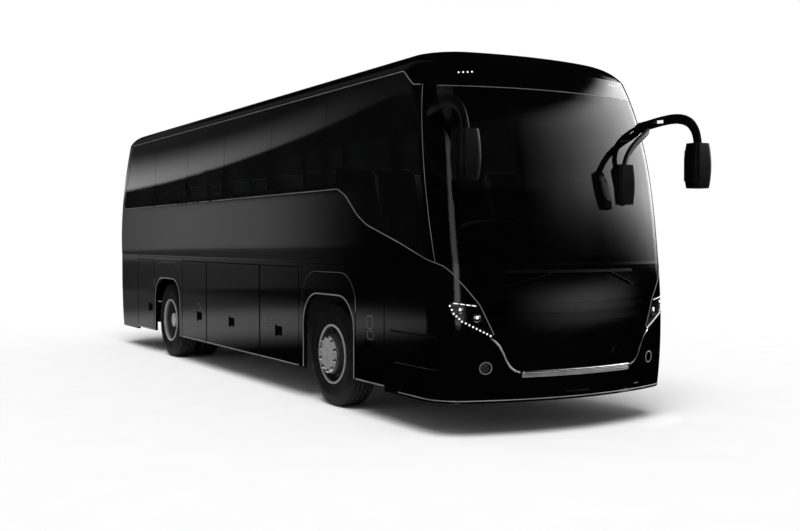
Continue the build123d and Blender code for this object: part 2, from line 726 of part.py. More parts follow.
# Wheels: profiles of radius against distance outboard of the wheel's middle plane
def turned(profile, x, y, side, radius=0):
    points = [(x, y + side * out, axle_z + r) for out, r in profile]
    if radius:
        edges = FilletPolyline(*points, radius=radius).edges() + [Edge.make_line(points[-1], points[0])]
    else:
        edges = Polyline(*points, close=True).edges()
    return Solid.revolve(Face(Wire(edges)), 360, Axis((x, 0, axle_z), (0, 1, 0)))


tyre_half = tyre_width / 2
shoulder_r = 24
bead_in, shoulder_in = 27, 30
bulge_r = 0.8 * tyre_r
seat_half = tyre_half - bead_in
tyre_profile = [(-seat_half, bead_r), (-tyre_half, bulge_r), (-tyre_half + shoulder_in, tyre_r),
                (tyre_half - shoulder_in, tyre_r), (tyre_half, bulge_r), (seat_half, bead_r)]
bead_lean = (tyre_half - seat_half) / (bulge_r - bead_r)
barrel_r = bead_r - running
flange_foot = seat_half + running
flange_lip = flange_foot + bead_lean * (flange_r - barrel_r)
rim_half = flange_lip + flange_width
lip_r, well_r, dish_r, inner_r = 282, 272, 265, 200
dish_out, dish_back = 60, 40
hub_bore = spindle_r + running
cap_gap = spindle_out + gap
# Hub disc of the front wheel, from its foot to its face
hub_profile = [(75, 206), (150, 196), (165, 188), (176, 164), (176, 0)]
front_rim = [(-rim_half, flange_r), (-flange_lip, flange_r), (-flange_foot, barrel_r), (flange_foot, barrel_r),
             (flange_lip, flange_r), (rim_half, flange_r), (rim_half, lip_r), (dish_out, dish_r)] + hub_profile + [
             (cap_gap, 0), (cap_gap, hub_bore), (dish_back, hub_bore), (dish_back, inner_r), (-rim_half, well_r)]
hand_holes = 10
hole_ring_r = 232
hole_r = 24


def hand_hole_ring(x, y, side, low, high):
    return [rod((x + hole_ring_r * cos(2 * pi * i / hand_holes), y + side * low,
                 axle_z + hole_ring_r * sin(2 * pi * i / hand_holes)),
                (x + hole_ring_r * cos(2 * pi * i / hand_holes), y + side * high,
                 axle_z + hole_ring_r * sin(2 * pi * i / hand_holes)), hole_r) for i in range(hand_holes)]


twin_inner = -twin_spacing
twin_disc = twin_inner / 2 + 20
twin_back = twin_inner / 2 - 60
twin_dish_r, hub_foot_r, hub_head_r = 262, 110, 95
hub_gap = rear_spindle_out + gap
hub_face = hub_gap + 20
twin_bore = rear_spindle_r + running
rear_rims = [(rim_half, flange_r), (rim_half, lip_r), (-dish_out, twin_dish_r), (twin_disc, inner_r),
             (twin_disc, hub_foot_r), (hub_face, hub_head_r), (hub_face, 0), (hub_gap, 0), (hub_gap, twin_bore),
             (twin_back, twin_bore), (twin_back, inner_r), (twin_inner - rim_half, well_r),
             (twin_inner - rim_half, flange_r), (twin_inner - flange_lip, flange_r), (twin_inner - flange_foot, barrel_r),
             (flange_foot, barrel_r), (flange_lip, flange_r)]

for name, side in (("left", 1), ("right", -1)):
    y = side * wheel_y
    export(f"tyre_front_{name}", turned(tyre_profile, front_axle, y, side, shoulder_r))
    rim = turned(front_rim, front_axle, y, side)
    for hole in hand_hole_ring(front_axle, y, side, -tyre_half, tyre_half):
        rim = rim - hole
    export(f"rim_front_{name}", rim)
    export(f"tyres_rear_{name}", turned(tyre_profile, rear_axle, y, side, shoulder_r),
           turned(tyre_profile, rear_axle, y - side * twin_spacing, side, shoulder_r))
    export(f"rims_rear_{name}", turned(rear_rims, rear_axle, y, side))

# Seats: one side profile, repeated in pairs along the deck, and the driver's seat
cushion_z = 450
seat_depth = 480
back_height = 1010
seat_profile = [(0, 0), (seat_depth * 0.7, 0), (seat_depth * 0.7, cushion_z - 130), (seat_depth, cushion_z - 110),
                (seat_depth, cushion_z), (120, cushion_z - 30), (-120, back_height), (-230, back_height - 40),
                (-60, cushion_z - 130), (0, cushion_z - 150)]


def seat(x, y0, y1, z):
    return side_prism([(x + dx, z + dz) for dx, dz in seat_profile], y0, y1)


first_row, driver_place = 60, 1190
first_row_x = front_axle + first_row
seat_gap = 25
pair_width = 2 * seat_width + seat_gap
rows = []
for i in range(seat_rows):
    x = first_row_x - i * seat_pitch
    rows.append(seat(x, aisle_half, aisle_half + pair_width, deck_z))
    rows.append(seat(x, -aisle_half - pair_width, -aisle_half, deck_z))
driver_seat_y = -730
driver_seat_x = front_axle + driver_place
rows.append(seat(driver_seat_x, driver_seat_y - seat_width / 2, driver_seat_y + seat_width / 2, platform_z))
export("seats", *rows)

# Dashboard with the steering column and wheel
dash_half = half * 0.8
# Columns: behind the dashboard's foot, above the waist
dash_steps = ((0, -20), (60, 40), (300, 20), (330, -60), (120, -200))
dash_profile = ([(platform_front, platform_z)] + [(platform_front - back, waist_z + rise) for back, rise in dash_steps]
                + [(platform_front - dash_steps[-1][0], platform_z)])
dash = side_prism(dash_profile, -dash_half, stair_y)
column_r, ring_r, ring_wire = 32, 225, 16
boss_r, boss_half = 60, 20
spoke_length, spoke_width, spoke_thick = 220, 36, 18
spoke_turns = (90, 210, 330)
column_foot = Vector(platform_front - 150, driver_seat_y, waist_z - 120)
column_head = Vector(platform_front - 390, driver_seat_y, waist_z + 205)
lean = (column_head - column_foot).normalized()
wheel_plane = Plane(column_head, z_dir=lean)
ring = Solid.make_torus(ring_r, ring_wire, wheel_plane)
spoke = Pos(spoke_length / 2, 0, 0) * Box(spoke_length, spoke_width, spoke_thick)
spokes = joined([wheel_plane * (Rot(0, 0, turn) * spoke) for turn in spoke_turns])
boss = Solid.make_cylinder(boss_r, 2 * boss_half, Plane(column_head - lean * boss_half, z_dir=lean))
dash = joined([dash, rod(column_foot, column_head, column_r), boss, spokes, ring])
export("dashboard", dash)

# Overhead racks
rack_reach, rack_start, rack_drop, rack_set_in = 700, 250, 120, 138
rack_front, rack_back = front_axle + rack_reach, rear_split_x + rack_start
rack_z = glass_top_z - rack_drop
rack_top = gutter_z - 2 * gap
rack_out = half - rack_set_in
# Columns: inward, height
rack_steps = ((0, rack_top), (0, rack_z + 60), (120, rack_z), (480, rack_z + 60), (480, rack_z + 110), (260, rack_top))
rack = front_prism([(inward - rack_out, z) for inward, z in rack_steps], rack_back, rack_front)
export("racks", rack, flipped(rack))

# Mirrors: an oval arm from the pillar, forward and down to a tapered head
head_x = nose + mirror_reach / 2
head_z0, head_z1 = 2150, 2560
head_width, head_depth = 230, mirror_reach
head_corner = 55
head_taper = 0.86
arm_wide, arm_thick = 46, 24
arm_points = [(front_axle + 1700, half - 130, 2755), (front_axle + 2050, half - 35, 2800), (nose - 40, half, 2775),
              (head_x, half, head_z1 - 20)]
arm_slot_x = front_axle + 2060
arm_slot_length, arm_slot_height = 110, 34
view_head_x, view_head_y = nose - 30, 500
view_z0, view_z1 = 1990, 2345
view_width, view_depth = 190, 100
branch_share = 0.7
branch_points = [(front_axle + 1780, half - 125, 2740), (front_axle + 2080, half - 220, 2700),
                 (front_axle + 2270, half - 530, 2560), (view_head_x, view_head_y, view_z1 - 20)]


def bent_arm(points, wide, thick):
    path = Spline(*points)
    return sweep(Plane(path @ 0, x_dir=(0, 0, 1), z_dir=path % 0) * Ellipse(wide, thick), path=path)


def mirror_head(x, y, z0, z1, width, depth):
    sections = []
    for z, share in ((z0, head_taper), ((z0 + z1) / 2, 1), (z1, head_taper)):
        sections.append(Pos(x, y, z) * RectangleRounded(depth * share, width * share, head_corner * depth / mirror_reach))
    return loft(sections)


def side_mirror():
    slot = box(arm_slot_x - arm_slot_length / 2, arm_slot_x + arm_slot_length / 2, 0, far,
               arm_points[1][2] - arm_slot_height / 2, arm_points[1][2] + arm_slot_height / 2)
    arm = bent_arm(arm_points, arm_wide, arm_thick) - slot
    return arm + mirror_head(head_x, half, head_z0, head_z1, head_width, head_depth)


left_mirror = side_mirror()
view_mirror = (bent_arm(branch_points, arm_wide * branch_share, arm_thick)
               + mirror_head(view_head_x, view_head_y, view_z0, view_z1, view_width, view_depth))
export("mirrors", left_mirror + view_mirror - upper_skin, flipped(left_mirror) - upper_skin)

# Wipers
wiper_drop, wiper_foot, wiper_arm, wiper_thick = 60, 110, 30, 26
blade_in, blade_out, blade_height = 420, 300, 24
wiper_back, wiper_front = nose - 300, nose + 60
wiper_z = waist_z - wiper_drop
wiper_layer = lower_body(-wiper_thick) - lower_body(-running, touch)


def wiper(y0, y1):
    foot_z = wiper_z - wiper_foot
    arm = front_prism([(y0, foot_z), (y0 + wiper_arm, foot_z), (y1 + wiper_arm, wiper_z), (y1, wiper_z)],
                      wiper_back, wiper_front)
    blade = box(wiper_back, wiper_front, y1 - blade_in, y1 + blade_out, wiper_z, wiper_z + blade_height)
    return wiper_layer & (arm + blade)


# Columns: foot, head
wiper_places = ((-760, -330), (620, 330))
export("wipers", *[wiper(foot, head) for foot, head in wiper_places])
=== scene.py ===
import json
import math
import bmesh
import bpy
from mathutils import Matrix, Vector
from mathutils.bvhtree import BVHTree


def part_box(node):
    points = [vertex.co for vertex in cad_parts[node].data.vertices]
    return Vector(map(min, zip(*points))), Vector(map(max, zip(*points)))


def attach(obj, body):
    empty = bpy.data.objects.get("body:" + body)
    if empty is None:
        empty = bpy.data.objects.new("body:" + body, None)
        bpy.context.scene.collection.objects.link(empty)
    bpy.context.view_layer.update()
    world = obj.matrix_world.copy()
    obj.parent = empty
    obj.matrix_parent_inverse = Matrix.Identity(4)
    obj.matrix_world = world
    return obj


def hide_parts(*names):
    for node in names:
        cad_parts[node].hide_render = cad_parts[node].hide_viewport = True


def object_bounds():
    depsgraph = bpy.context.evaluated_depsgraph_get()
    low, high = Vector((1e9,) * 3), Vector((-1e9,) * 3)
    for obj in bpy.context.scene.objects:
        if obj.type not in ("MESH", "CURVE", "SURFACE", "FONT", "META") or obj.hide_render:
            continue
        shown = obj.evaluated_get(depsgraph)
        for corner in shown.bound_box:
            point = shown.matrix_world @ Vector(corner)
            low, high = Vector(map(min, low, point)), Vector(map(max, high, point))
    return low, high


# Touring coach in black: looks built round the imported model. Metres, +X forward, +Y left.
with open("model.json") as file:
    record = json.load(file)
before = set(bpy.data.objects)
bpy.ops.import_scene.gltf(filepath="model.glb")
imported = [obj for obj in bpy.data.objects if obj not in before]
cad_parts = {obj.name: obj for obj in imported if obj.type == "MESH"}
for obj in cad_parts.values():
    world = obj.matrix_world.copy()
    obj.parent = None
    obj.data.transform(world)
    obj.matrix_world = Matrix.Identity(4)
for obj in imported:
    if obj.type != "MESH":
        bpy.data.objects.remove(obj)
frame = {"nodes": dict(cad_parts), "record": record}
cadLow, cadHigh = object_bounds()
nodes = frame["nodes"]
slotOf = {row["node"]: row["material_slot"] for row in frame["record"]["subparts"]}
print("frame loaded:", len(nodes), "nodes")

# Places that the pieces share
def middleX(nodeName):
    low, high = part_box(nodeName)
    return (low[0] + high[0]) / 2


frontAxle = middleX("tyre_front_left")
rearAxle = middleX("tyres_rear_left")
axleZ = 0.525
halfWidth = 1.275
skirtZ = 0.335
waistZ = 1.455
beltZ = 2.18
glassTopZ = 3.172
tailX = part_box("rear_cap")[0][0]
forward = Vector((1, 0, 0))
up = Vector((0, 0, 1))
sides = {"right": -1, "left": 1}


def addNode(tree, kind, values=None, **settings):
    node = tree.nodes.new(kind)
    for key, value in settings.items():
        setattr(node, key, value)
    for key, value in (values or {}).items():
        node.inputs[key].default_value = value
    return node


def objectPlace(tree):
    return addNode(tree, "ShaderNodeTexCoord").outputs["Object"]


def noiseOf(tree, scale, detail=4.0):
    noise = addNode(tree, "ShaderNodeTexNoise", {"Scale": scale, "Detail": detail})
    tree.links.new(objectPlace(tree), noise.inputs["Vector"])
    return noise.outputs["Fac"]


# Where a noise turns from a finish's dark shade to its light one
shadeLow, shadeHigh = 0.35, 0.65


def rampOf(tree, source, dark, light):
    ramp = addNode(tree, "ShaderNodeValToRGB")
    for stop, at, colour in zip(ramp.color_ramp.elements, (shadeLow, shadeHigh), (dark, light)):
        stop.position = at
        stop.color = (*colour, 1)
    tree.links.new(source, ramp.inputs["Fac"])
    return ramp.outputs["Color"]


def bumpOf(tree, shader, source, distance, strength=0.6):
    bump = addNode(tree, "ShaderNodeBump", {"Strength": strength, "Distance": distance})
    tree.links.new(source, bump.inputs["Height"])
    tree.links.new(bump.outputs["Normal"], shader.inputs["Normal"])


def mathOf(tree, operation, first, second):
    node = addNode(tree, "ShaderNodeMath", operation=operation)
    tree.links.new(first, node.inputs[0])
    if isinstance(second, (int, float)):
        node.inputs[1].default_value = second
    else:
        tree.links.new(second, node.inputs[1])
    return node.outputs["Value"]


def easeOf(tree, source, start, end, low, high, way="SMOOTHSTEP"):
    ends = {"From Min": start, "From Max": end, "To Min": low, "To Max": high}
    node = addNode(tree, "ShaderNodeMapRange", ends, interpolation_type=way)
    tree.links.new(source, node.inputs["Value"])
    return node.outputs["Result"]


# A noise stays mostly between these two levels
noiseLow, noiseHigh = 0.3, 0.7


def spanOf(tree, source, low, high):
    return easeOf(tree, source, noiseLow, noiseHigh, low, high, "LINEAR")


def splitPlace(tree):
    split = addNode(tree, "ShaderNodeSeparateXYZ")
    tree.links.new(objectPlace(tree), split.inputs["Vector"])
    return split.outputs


def newMaterial(name):
    mat = bpy.data.materials.new(name)
    mat.use_nodes = True
    return mat, mat.node_tree, mat.node_tree.nodes["Principled BSDF"]


def makeFinish(name, look):
    mat, tree, shader = newMaterial(name)
    broad = noiseOf(tree, look["patch"], detail=3.0)
    fine = noiseOf(tree, look["grain"], detail=5.0)
    colour = rampOf(tree, broad, look["dark"], look["light"])
    tree.links.new(colour, shader.inputs["Base Color"])
    tree.links.new(spanOf(tree, fine, *look["rough"]), shader.inputs["Roughness"])
    bumpOf(tree, shader, fine, look["relief"])
    for socket, value in look.get("sockets", {}).items():
        shader.inputs[socket].default_value = value
    return mat


finishLooks = {
    "paint": {"dark": (0.0007, 0.0007, 0.0008), "light": (0.0014, 0.0014, 0.0016), "patch": 1.6,
              "grain": 420.0, "rough": (0.05, 0.11), "relief": 0.00002,
              "sockets": {"Specular IOR Level": 0.3, "Coat Weight": 0.25, "Coat Roughness": 0.03}},
    "black_plastic": {"dark": (0.0012, 0.0012, 0.0012), "light": (0.0026, 0.0026, 0.0028), "patch": 6.0,
                      "grain": 900.0, "rough": (0.32, 0.5), "relief": 0.00015,
                      "sockets": {"Specular IOR Level": 0.12}},
    "steel": {"dark": (0.07, 0.07, 0.072), "light": (0.14, 0.135, 0.13), "patch": 4.0, "grain": 120.0,
              "rough": (0.45, 0.7), "relief": 0.0004, "sockets": {"Metallic": 0.7}},
    "iron": {"dark": (0.03, 0.03, 0.03), "light": (0.06, 0.055, 0.05), "patch": 7.0, "grain": 260.0,
             "rough": (0.55, 0.8), "relief": 0.0008, "sockets": {"Metallic": 0.4}},
    "alloy": {"dark": (0.50, 0.50, 0.51), "light": (0.68, 0.68, 0.69), "patch": 9.0, "grain": 220.0,
              "rough": (0.25, 0.4), "relief": 0.00008, "sockets": {"Metallic": 0.6}},
    "tyre": {"dark": (0.003, 0.003, 0.003), "light": (0.007, 0.0068, 0.0066), "patch": 11.0, "grain": 340.0,
             "rough": (0.6, 0.85), "relief": 0.0005, "sockets": {"Specular IOR Level": 0.3}},
    "floor": {"dark": (0.035, 0.035, 0.038), "light": (0.07, 0.07, 0.075), "patch": 60.0, "grain": 500.0,
              "rough": (0.4, 0.6), "relief": 0.0003},
    "chrome": {"dark": (0.62, 0.62, 0.63), "light": (0.8, 0.8, 0.81), "patch": 14.0, "grain": 300.0,
               "rough": (0.07, 0.16), "relief": 0.00002, "sockets": {"Metallic": 1.0}},
    # Light grey metal for the trim lines, and for the strips of painted highlight on the arch covers
    "trimAndPaintedHighlight": {"dark": (0.24, 0.24, 0.25), "light": (0.34, 0.34, 0.35), "patch": 5.0, "grain": 500.0,
                 "rough": (0.25, 0.4), "relief": 0.00005, "sockets": {"Metallic": 0.5}},
    # Glowing caps for the LED beads, and for the painted highlights on the lamp reflectors
    "ledAndHighlightGlow": {"dark": (0.85, 0.86, 0.88), "light": (0.95, 0.95, 0.97), "patch": 60.0, "grain": 700.0,
               "rough": (0.1, 0.25), "relief": 0.00005,
               "sockets": {"Emission Color": (1, 1, 1, 1), "Emission Strength": 0.6}},
    "mirrorGlass": {"dark": (0.5, 0.51, 0.52), "light": (0.58, 0.59, 0.6), "patch": 3.0, "grain": 90.0,
                    "rough": (0.02, 0.05), "relief": 0.00001, "sockets": {"Metallic": 1.0}},
    "seal": {"dark": (0.0004, 0.0004, 0.0004), "light": (0.0009, 0.0009, 0.0009), "patch": 8.0,
             "grain": 500.0, "rough": (0.7, 0.85), "relief": 0.0001, "sockets": {"Specular IOR Level": 0.03}},
    "seatShell": {"dark": (0.012, 0.012, 0.013), "light": (0.022, 0.022, 0.024), "patch": 8.0, "grain": 700.0,
                  "rough": (0.45, 0.6), "relief": 0.0002},
}
finishes = {name: makeFinish(name, look) for name, look in finishLooks.items()}

glassLook = {"tint": (0.042, 0.043, 0.045), "edge": (0.034, 0.035, 0.036), "wave": 1.2, "waveDepth": 0.0003,
             "waveShare": 0.2, "rough": (0.01, 0.03), "bend": 1.33}


def makeGlass():
    mat, tree, shader = newMaterial("tintedGlass")
    wave = noiseOf(tree, glassLook["wave"], detail=2.0)
    tree.links.new(rampOf(tree, wave, glassLook["edge"], glassLook["tint"]), shader.inputs["Base Color"])
    tree.links.new(spanOf(tree, wave, *glassLook["rough"]), shader.inputs["Roughness"])
    bumpOf(tree, shader, wave, glassLook["waveDepth"], glassLook["waveShare"])
    shader.inputs["Transmission Weight"].default_value = 1.0
    shader.inputs["IOR"].default_value = glassLook["bend"]
    return mat


lampLook = {"clear": (0.07, 0.07, 0.073), "shade": (0.035, 0.035, 0.037), "haze": 30.0, "rough": (0.03, 0.08),
            "flutes": 90.0, "fluteDepth": 0.0006, "fluteShare": 0.3}


def makeLens():
    mat, tree, shader = newMaterial("clearLens")
    flutes = addNode(tree, "ShaderNodeTexWave", {"Scale": lampLook["flutes"]}, bands_direction="Y")
    tree.links.new(objectPlace(tree), flutes.inputs["Vector"])
    haze = noiseOf(tree, lampLook["haze"])
    tree.links.new(rampOf(tree, haze, lampLook["shade"], lampLook["clear"]), shader.inputs["Base Color"])
    tree.links.new(spanOf(tree, haze, *lampLook["rough"]), shader.inputs["Roughness"])
    bumpOf(tree, shader, flutes.outputs["Fac"], lampLook["fluteDepth"], lampLook["fluteShare"])
    shader.inputs["Transmission Weight"].default_value = 1.0
    return mat


# The colour zones are heights, as shares of zoneHigh
tailLook = {"red": (0.16, 0.004, 0.004), "amber": (0.45, 0.12, 0.005), "white": (0.5, 0.5, 0.5),
            "whiteTop": 0.9, "amberTop": 1.06, "zoneHigh": 2.0, "prisms": 70.0, "prismDepth": 0.001,
            "rough": (0.08, 0.2)}


def makeTailLens():
    mat, tree, shader = newMaterial("tailLens")
    zones = addNode(tree, "ShaderNodeValToRGB")
    stops = zones.color_ramp.elements
    zones.color_ramp.interpolation = "CONSTANT"
    stops[0].color = (*tailLook["white"], 1)
    stops[1].position = tailLook["whiteTop"] / tailLook["zoneHigh"]
    stops[1].color = (*tailLook["amber"], 1)
    stops.new(tailLook["amberTop"] / tailLook["zoneHigh"]).color = (*tailLook["red"], 1)
    share = mathOf(tree, "DIVIDE", splitPlace(tree)["Z"], tailLook["zoneHigh"])
    tree.links.new(share, zones.inputs["Fac"])
    prisms = addNode(tree, "ShaderNodeTexVoronoi", {"Scale": tailLook["prisms"]})
    tree.links.new(objectPlace(tree), prisms.inputs["Vector"])
    tree.links.new(zones.outputs["Color"], shader.inputs["Base Color"])
    tree.links.new(spanOf(tree, prisms.outputs["Distance"], *tailLook["rough"]), shader.inputs["Roughness"])
    bumpOf(tree, shader, prisms.outputs["Distance"], tailLook["prismDepth"])
    return mat


clothLook = {"dark": (0.025, 0.026, 0.032), "light": (0.060, 0.062, 0.072), "thread": 66.878981,
             "depth": 0.0008, "fleck": 55.0, "rough": (0.75, 0.95), "sheen": 0.25}


def makeCloth():
    mat, tree, shader = newMaterial("seatCloth")
    threads = []
    for direction in ("Y", "Z"):
        wave = addNode(tree, "ShaderNodeTexWave", {"Scale": clothLook["thread"]}, bands_direction=direction)
        tree.links.new(objectPlace(tree), wave.inputs["Vector"])
        threads.append(wave.outputs["Fac"])
    fleck = noiseOf(tree, clothLook["fleck"])
    tree.links.new(rampOf(tree, fleck, clothLook["dark"], clothLook["light"]), shader.inputs["Base Color"])
    tree.links.new(spanOf(tree, fleck, *clothLook["rough"]), shader.inputs["Roughness"])
    bumpOf(tree, shader, mathOf(tree, "MULTIPLY", *threads), clothLook["depth"])
    shader.inputs["Sheen Weight"].default_value = clothLook["sheen"]
    return mat


finishes["glass"] = makeGlass()
finishes["lamp"] = makeLens()
finishes["red_lamp"] = makeTailLens()
finishes["fabric"] = makeCloth()
darkNodes = {"tow_socket": "iron", "luggage_hold": "steel"}


def dressNode(nodeName, finish):
    for materialSlot in nodes[nodeName].material_slots:
        materialSlot.material = finish


for nodeName in nodes:
    dressNode(nodeName, finishes[darkNodes.get(nodeName, slotOf[nodeName])])
print("finishes made:", len(finishes))


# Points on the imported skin, found by a ray from outside
def skinTree(names):
    points = []
    faces = []
    for name in names:
        mesh = nodes[name].data
        first = len(points)
        points += [nodes[name].matrix_world @ v.co for v in mesh.vertices]
        faces += [[first + i for i in face.vertices] for face in mesh.polygons]
    return BVHTree.FromPolygons(points, faces)


outsideNodes = [n for n in nodes if slotOf[n] in ("paint", "glass", "lamp") and n != "mirrors"]
skin = skinTree(outsideNodes + ["hinge_rails"])


# Where the rays start, clear of the coach
raySide = 3
rayFront = 7


def sideHit(x, z, side):
    return skin.ray_cast(Vector((x, side * raySide, z)), Vector((0, -side, 0)))[:2]


def frontHit(y, z):
    return skin.ray_cast(Vector((rayFront, y, z)), -forward)[:2]


def alongPath(points, step):
    stations = []
    for (a0, b0), (a1, b1) in zip(points, points[1:]):
        count = max(1, round(math.hypot(a1 - a0, b1 - b0) / step))
        stations += [(a0 + (a1 - a0) * i / count, b0 + (b1 - b0) * i / count) for i in range(count)]
    return stations + [points[-1]]


def meshOf(name, bm):
    mesh = bpy.data.meshes.new(name)
    bm.to_mesh(mesh)
    bm.free()
    return mesh


def addObject(name, data):
    added = bpy.data.objects.new(name, data)
    bpy.context.scene.collection.objects.link(added)
    return added


def finishPiece(name, bm, finish, body):
    bmesh.ops.recalc_face_normals(bm, faces=bm.faces)
    mesh = meshOf(name, bm)
    for face in mesh.polygons:
        face.use_smooth = True
    piece = addObject(name, mesh)
    mesh.materials.append(finishes[finish])
    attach(piece, body)
    return piece


# A tube through rings of equally many points
def addRings(bm, rings, caps=True):
    made = [[bm.verts.new(p) for p in ring] for ring in rings]
    for low, high in zip(made, made[1:]):
        count = len(low)
        for i in range(count):
            bm.faces.new((low[i], low[(i + 1) % count], high[(i + 1) % count], high[i]))
    if caps:
        bm.faces.new(made[0])
        bm.faces.new(made[-1])
    return made


# A strip's half-round section, as shares of its width and of how far it stands proud
stripSection = ((-0.5, -0.4), (-0.42, 0.5), (-0.2, 0.9), (0.2, 0.9), (0.42, 0.5), (0.5, -0.4))


# A strip that lies on the skin along a line of hits: a moulding, and also the light lines for painted
# highlights
def layStrip(bm, hits, width, proud):
    rings = []
    hits = [h for h in hits if h[0] is not None]
    for i, (place, normal) in enumerate(hits):
        ahead = hits[min(i + 1, len(hits) - 1)][0] - hits[max(i - 1, 0)][0]
        across = normal.cross(ahead).normalized()
        rings.append([place + across * width * a + normal * proud * b for a, b in stripSection])
    addRings(bm, rings)


stripLook = {"bandWidth": 0.009, "bandRound": 0.05, "bandUp": 0.006, "pillarWidth": 0.004, "proud": 0.004,
             "step": 0.06, "skirtWidth": 0.014, "skirtUp": 0.012, "skirtIn": 0.01, "skirtStep": 0.1,
             "sealWidth": 0.011, "sealIn": 0.006, "sealFoot": 0.03, "sealTop": 1.39, "sealProud": 0.0015,
             "rimWidth": 0.005, "rimIn": 0.006, "rimStep": 0.02, "rimSides": 32}
bandTop = glassTopZ + stripLook["bandUp"]
bandRear = [(tailX + 0.5, beltZ), (tailX + 0.75, bandTop)]
kneeDrops = ((0.23, 0.003), (0.405, 0.075), (0.66, 0.27), (0.85, 0.362), (1.475, 0.533))
kneeLine = [(frontAxle + x, beltZ - drop) for x, drop in kneeDrops]
bandFront = [(frontAxle + x, z) for x, z in ((1.67, 3.028), (1.585, 3.035), (1.395, bandTop))]
pillarLine = [(frontAxle + 1.69, 3.028), (frontAxle + 2.01, waistZ + 0.027)]
doorEdge = frontAxle + 0.72
bandLines = {-1: bandFront + bandRear[::-1] + kneeLine,
             1: [(doorEdge, bandTop)] + bandRear[::-1] + kneeLine[:3] + [(doorEdge, beltZ - 0.3)]}
flapEdges = [rearAxle + 0.685, frontAxle - 3.586, frontAxle - 1.776, frontAxle - 0.685]
skirtSpans = {"service_flap_right": (frontAxle + 0.615, frontAxle + 1.175),
              "engine_flap_right": (rearAxle - 1.46, rearAxle - 0.615)}
for sideName in sides:
    for i in range(3):
        span = (flapEdges[i] + stripLook["skirtIn"], flapEdges[i + 1] - stripLook["skirtIn"])
        skirtSpans[f"hatch_{sideName}_{i + 1}"] = span


def sideOf(flapName):
    return sides["right" if "right" in flapName else "left"]


def sideStrip(bm, line, side, width, proud=stripLook["proud"], step=stripLook["step"]):
    layStrip(bm, [sideHit(x, z, side) for x, z in alongPath(line, step)], width, proud)


roundLook = {"steps": 6, "most": 0.45, "flattest": 0.01}


# A line with its corners rounded
def roundPath(points, radius):
    path = [points[0]]
    for before, here, after in zip(points, points[1:], points[2:]):
        corner = Vector(here)
        back = Vector(before) - corner
        ahead = Vector(after) - corner
        slope = max(math.tan(back.angle(ahead) / 2), roundLook["flattest"])
        reach = min(radius / slope, back.length * roundLook["most"], ahead.length * roundLook["most"])
        start = corner + back.normalized() * reach
        end = corner + ahead.normalized() * reach
        for i in range(roundLook["steps"] + 1):
            t = i / roundLook["steps"]
            path.append(tuple(start * (1 - t) ** 2 + corner * 2 * t * (1 - t) + end * t * t))
    return path + [points[-1]]


# A closed ring, with its first point again at the end
def ringPath(x, z, radiusX, radiusZ, count):
    turns = [math.tau * i / count for i in range(count + 1)]
    return [(x + radiusX * math.cos(turn), z + radiusZ * math.sin(turn)) for turn in turns]


archLook = {"half": 0.565, "corner": 0.33, "cornerSteps": 8, "foot": 0.01, "step": 0.04,
            "edgeOut": 0.012, "edgeTop": 1.13, "edgeWidth": 0.016,
            "coverOut": 0.052, "coverTop": 1.355, "coverFoot": 0.95, "coverWidth": 0.006}


def archLine(centre, grow, topZ):
    reach = archLook["half"] + grow
    corner = archLook["corner"]
    steps = archLook["cornerSteps"]
    line = [(centre - reach, skirtZ + archLook["foot"]), (centre - reach, topZ - corner)]
    line += [(centre - reach + corner * (1 - math.cos(a)), topZ - corner + corner * math.sin(a))
             for a in (math.pi / 2 * i / steps for i in range(1, steps + 1))]
    return line + [(2 * centre - x, z) for x, z in reversed(line)]


for sideName, side in sides.items():
    bm = bmesh.new()
    sideStrip(bm, roundPath(bandLines[side], stripLook["bandRound"]), side, stripLook["bandWidth"])
    if sideName == "right":
        sideStrip(bm, pillarLine, side, stripLook["pillarWidth"])
    for centre in (frontAxle, rearAxle):
        edge = archLine(centre, archLook["edgeOut"], archLook["edgeTop"])
        sideStrip(bm, edge, side, archLook["edgeWidth"], step=archLook["step"])
        # The arch cover's outer edge gets a thin light strip: a painted highlight on the arch's bulge
        cover = alongPath(archLine(centre, archLook["coverOut"], archLook["coverTop"]), archLook["step"])
        hits = [sideHit(x, z, side) for x, z in cover if z > archLook["coverFoot"]]
        layStrip(bm, hits, archLook["coverWidth"], stripLook["proud"])
    finishPiece(f"trim_and_highlight_lines_{sideName}", bm, "trimAndPaintedHighlight", "body")
for flapName, span in skirtSpans.items():
    side = sideOf(flapName)
    bm = bmesh.new()
    line = [(x, skirtZ + stripLook["skirtUp"]) for x in span]
    sideStrip(bm, line, side, stripLook["skirtWidth"], step=stripLook["skirtStep"])
    finishPiece(f"skirt_{flapName}", bm, "trimAndPaintedHighlight", flapName)
    low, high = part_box(flapName)
    rear = low[0] + stripLook["sealIn"]
    front = high[0] - stripLook["sealIn"]
    foot = low[2] + stripLook["sealFoot"]
    top = stripLook["sealTop"]
    bm = bmesh.new()
    sealLine = [(rear, foot), (rear, top), (front, top), (front, foot)]
    sideStrip(bm, sealLine, side, stripLook["sealWidth"], stripLook["sealProud"])
    finishPiece(f"seal_{flapName}", bm, "seal", flapName)

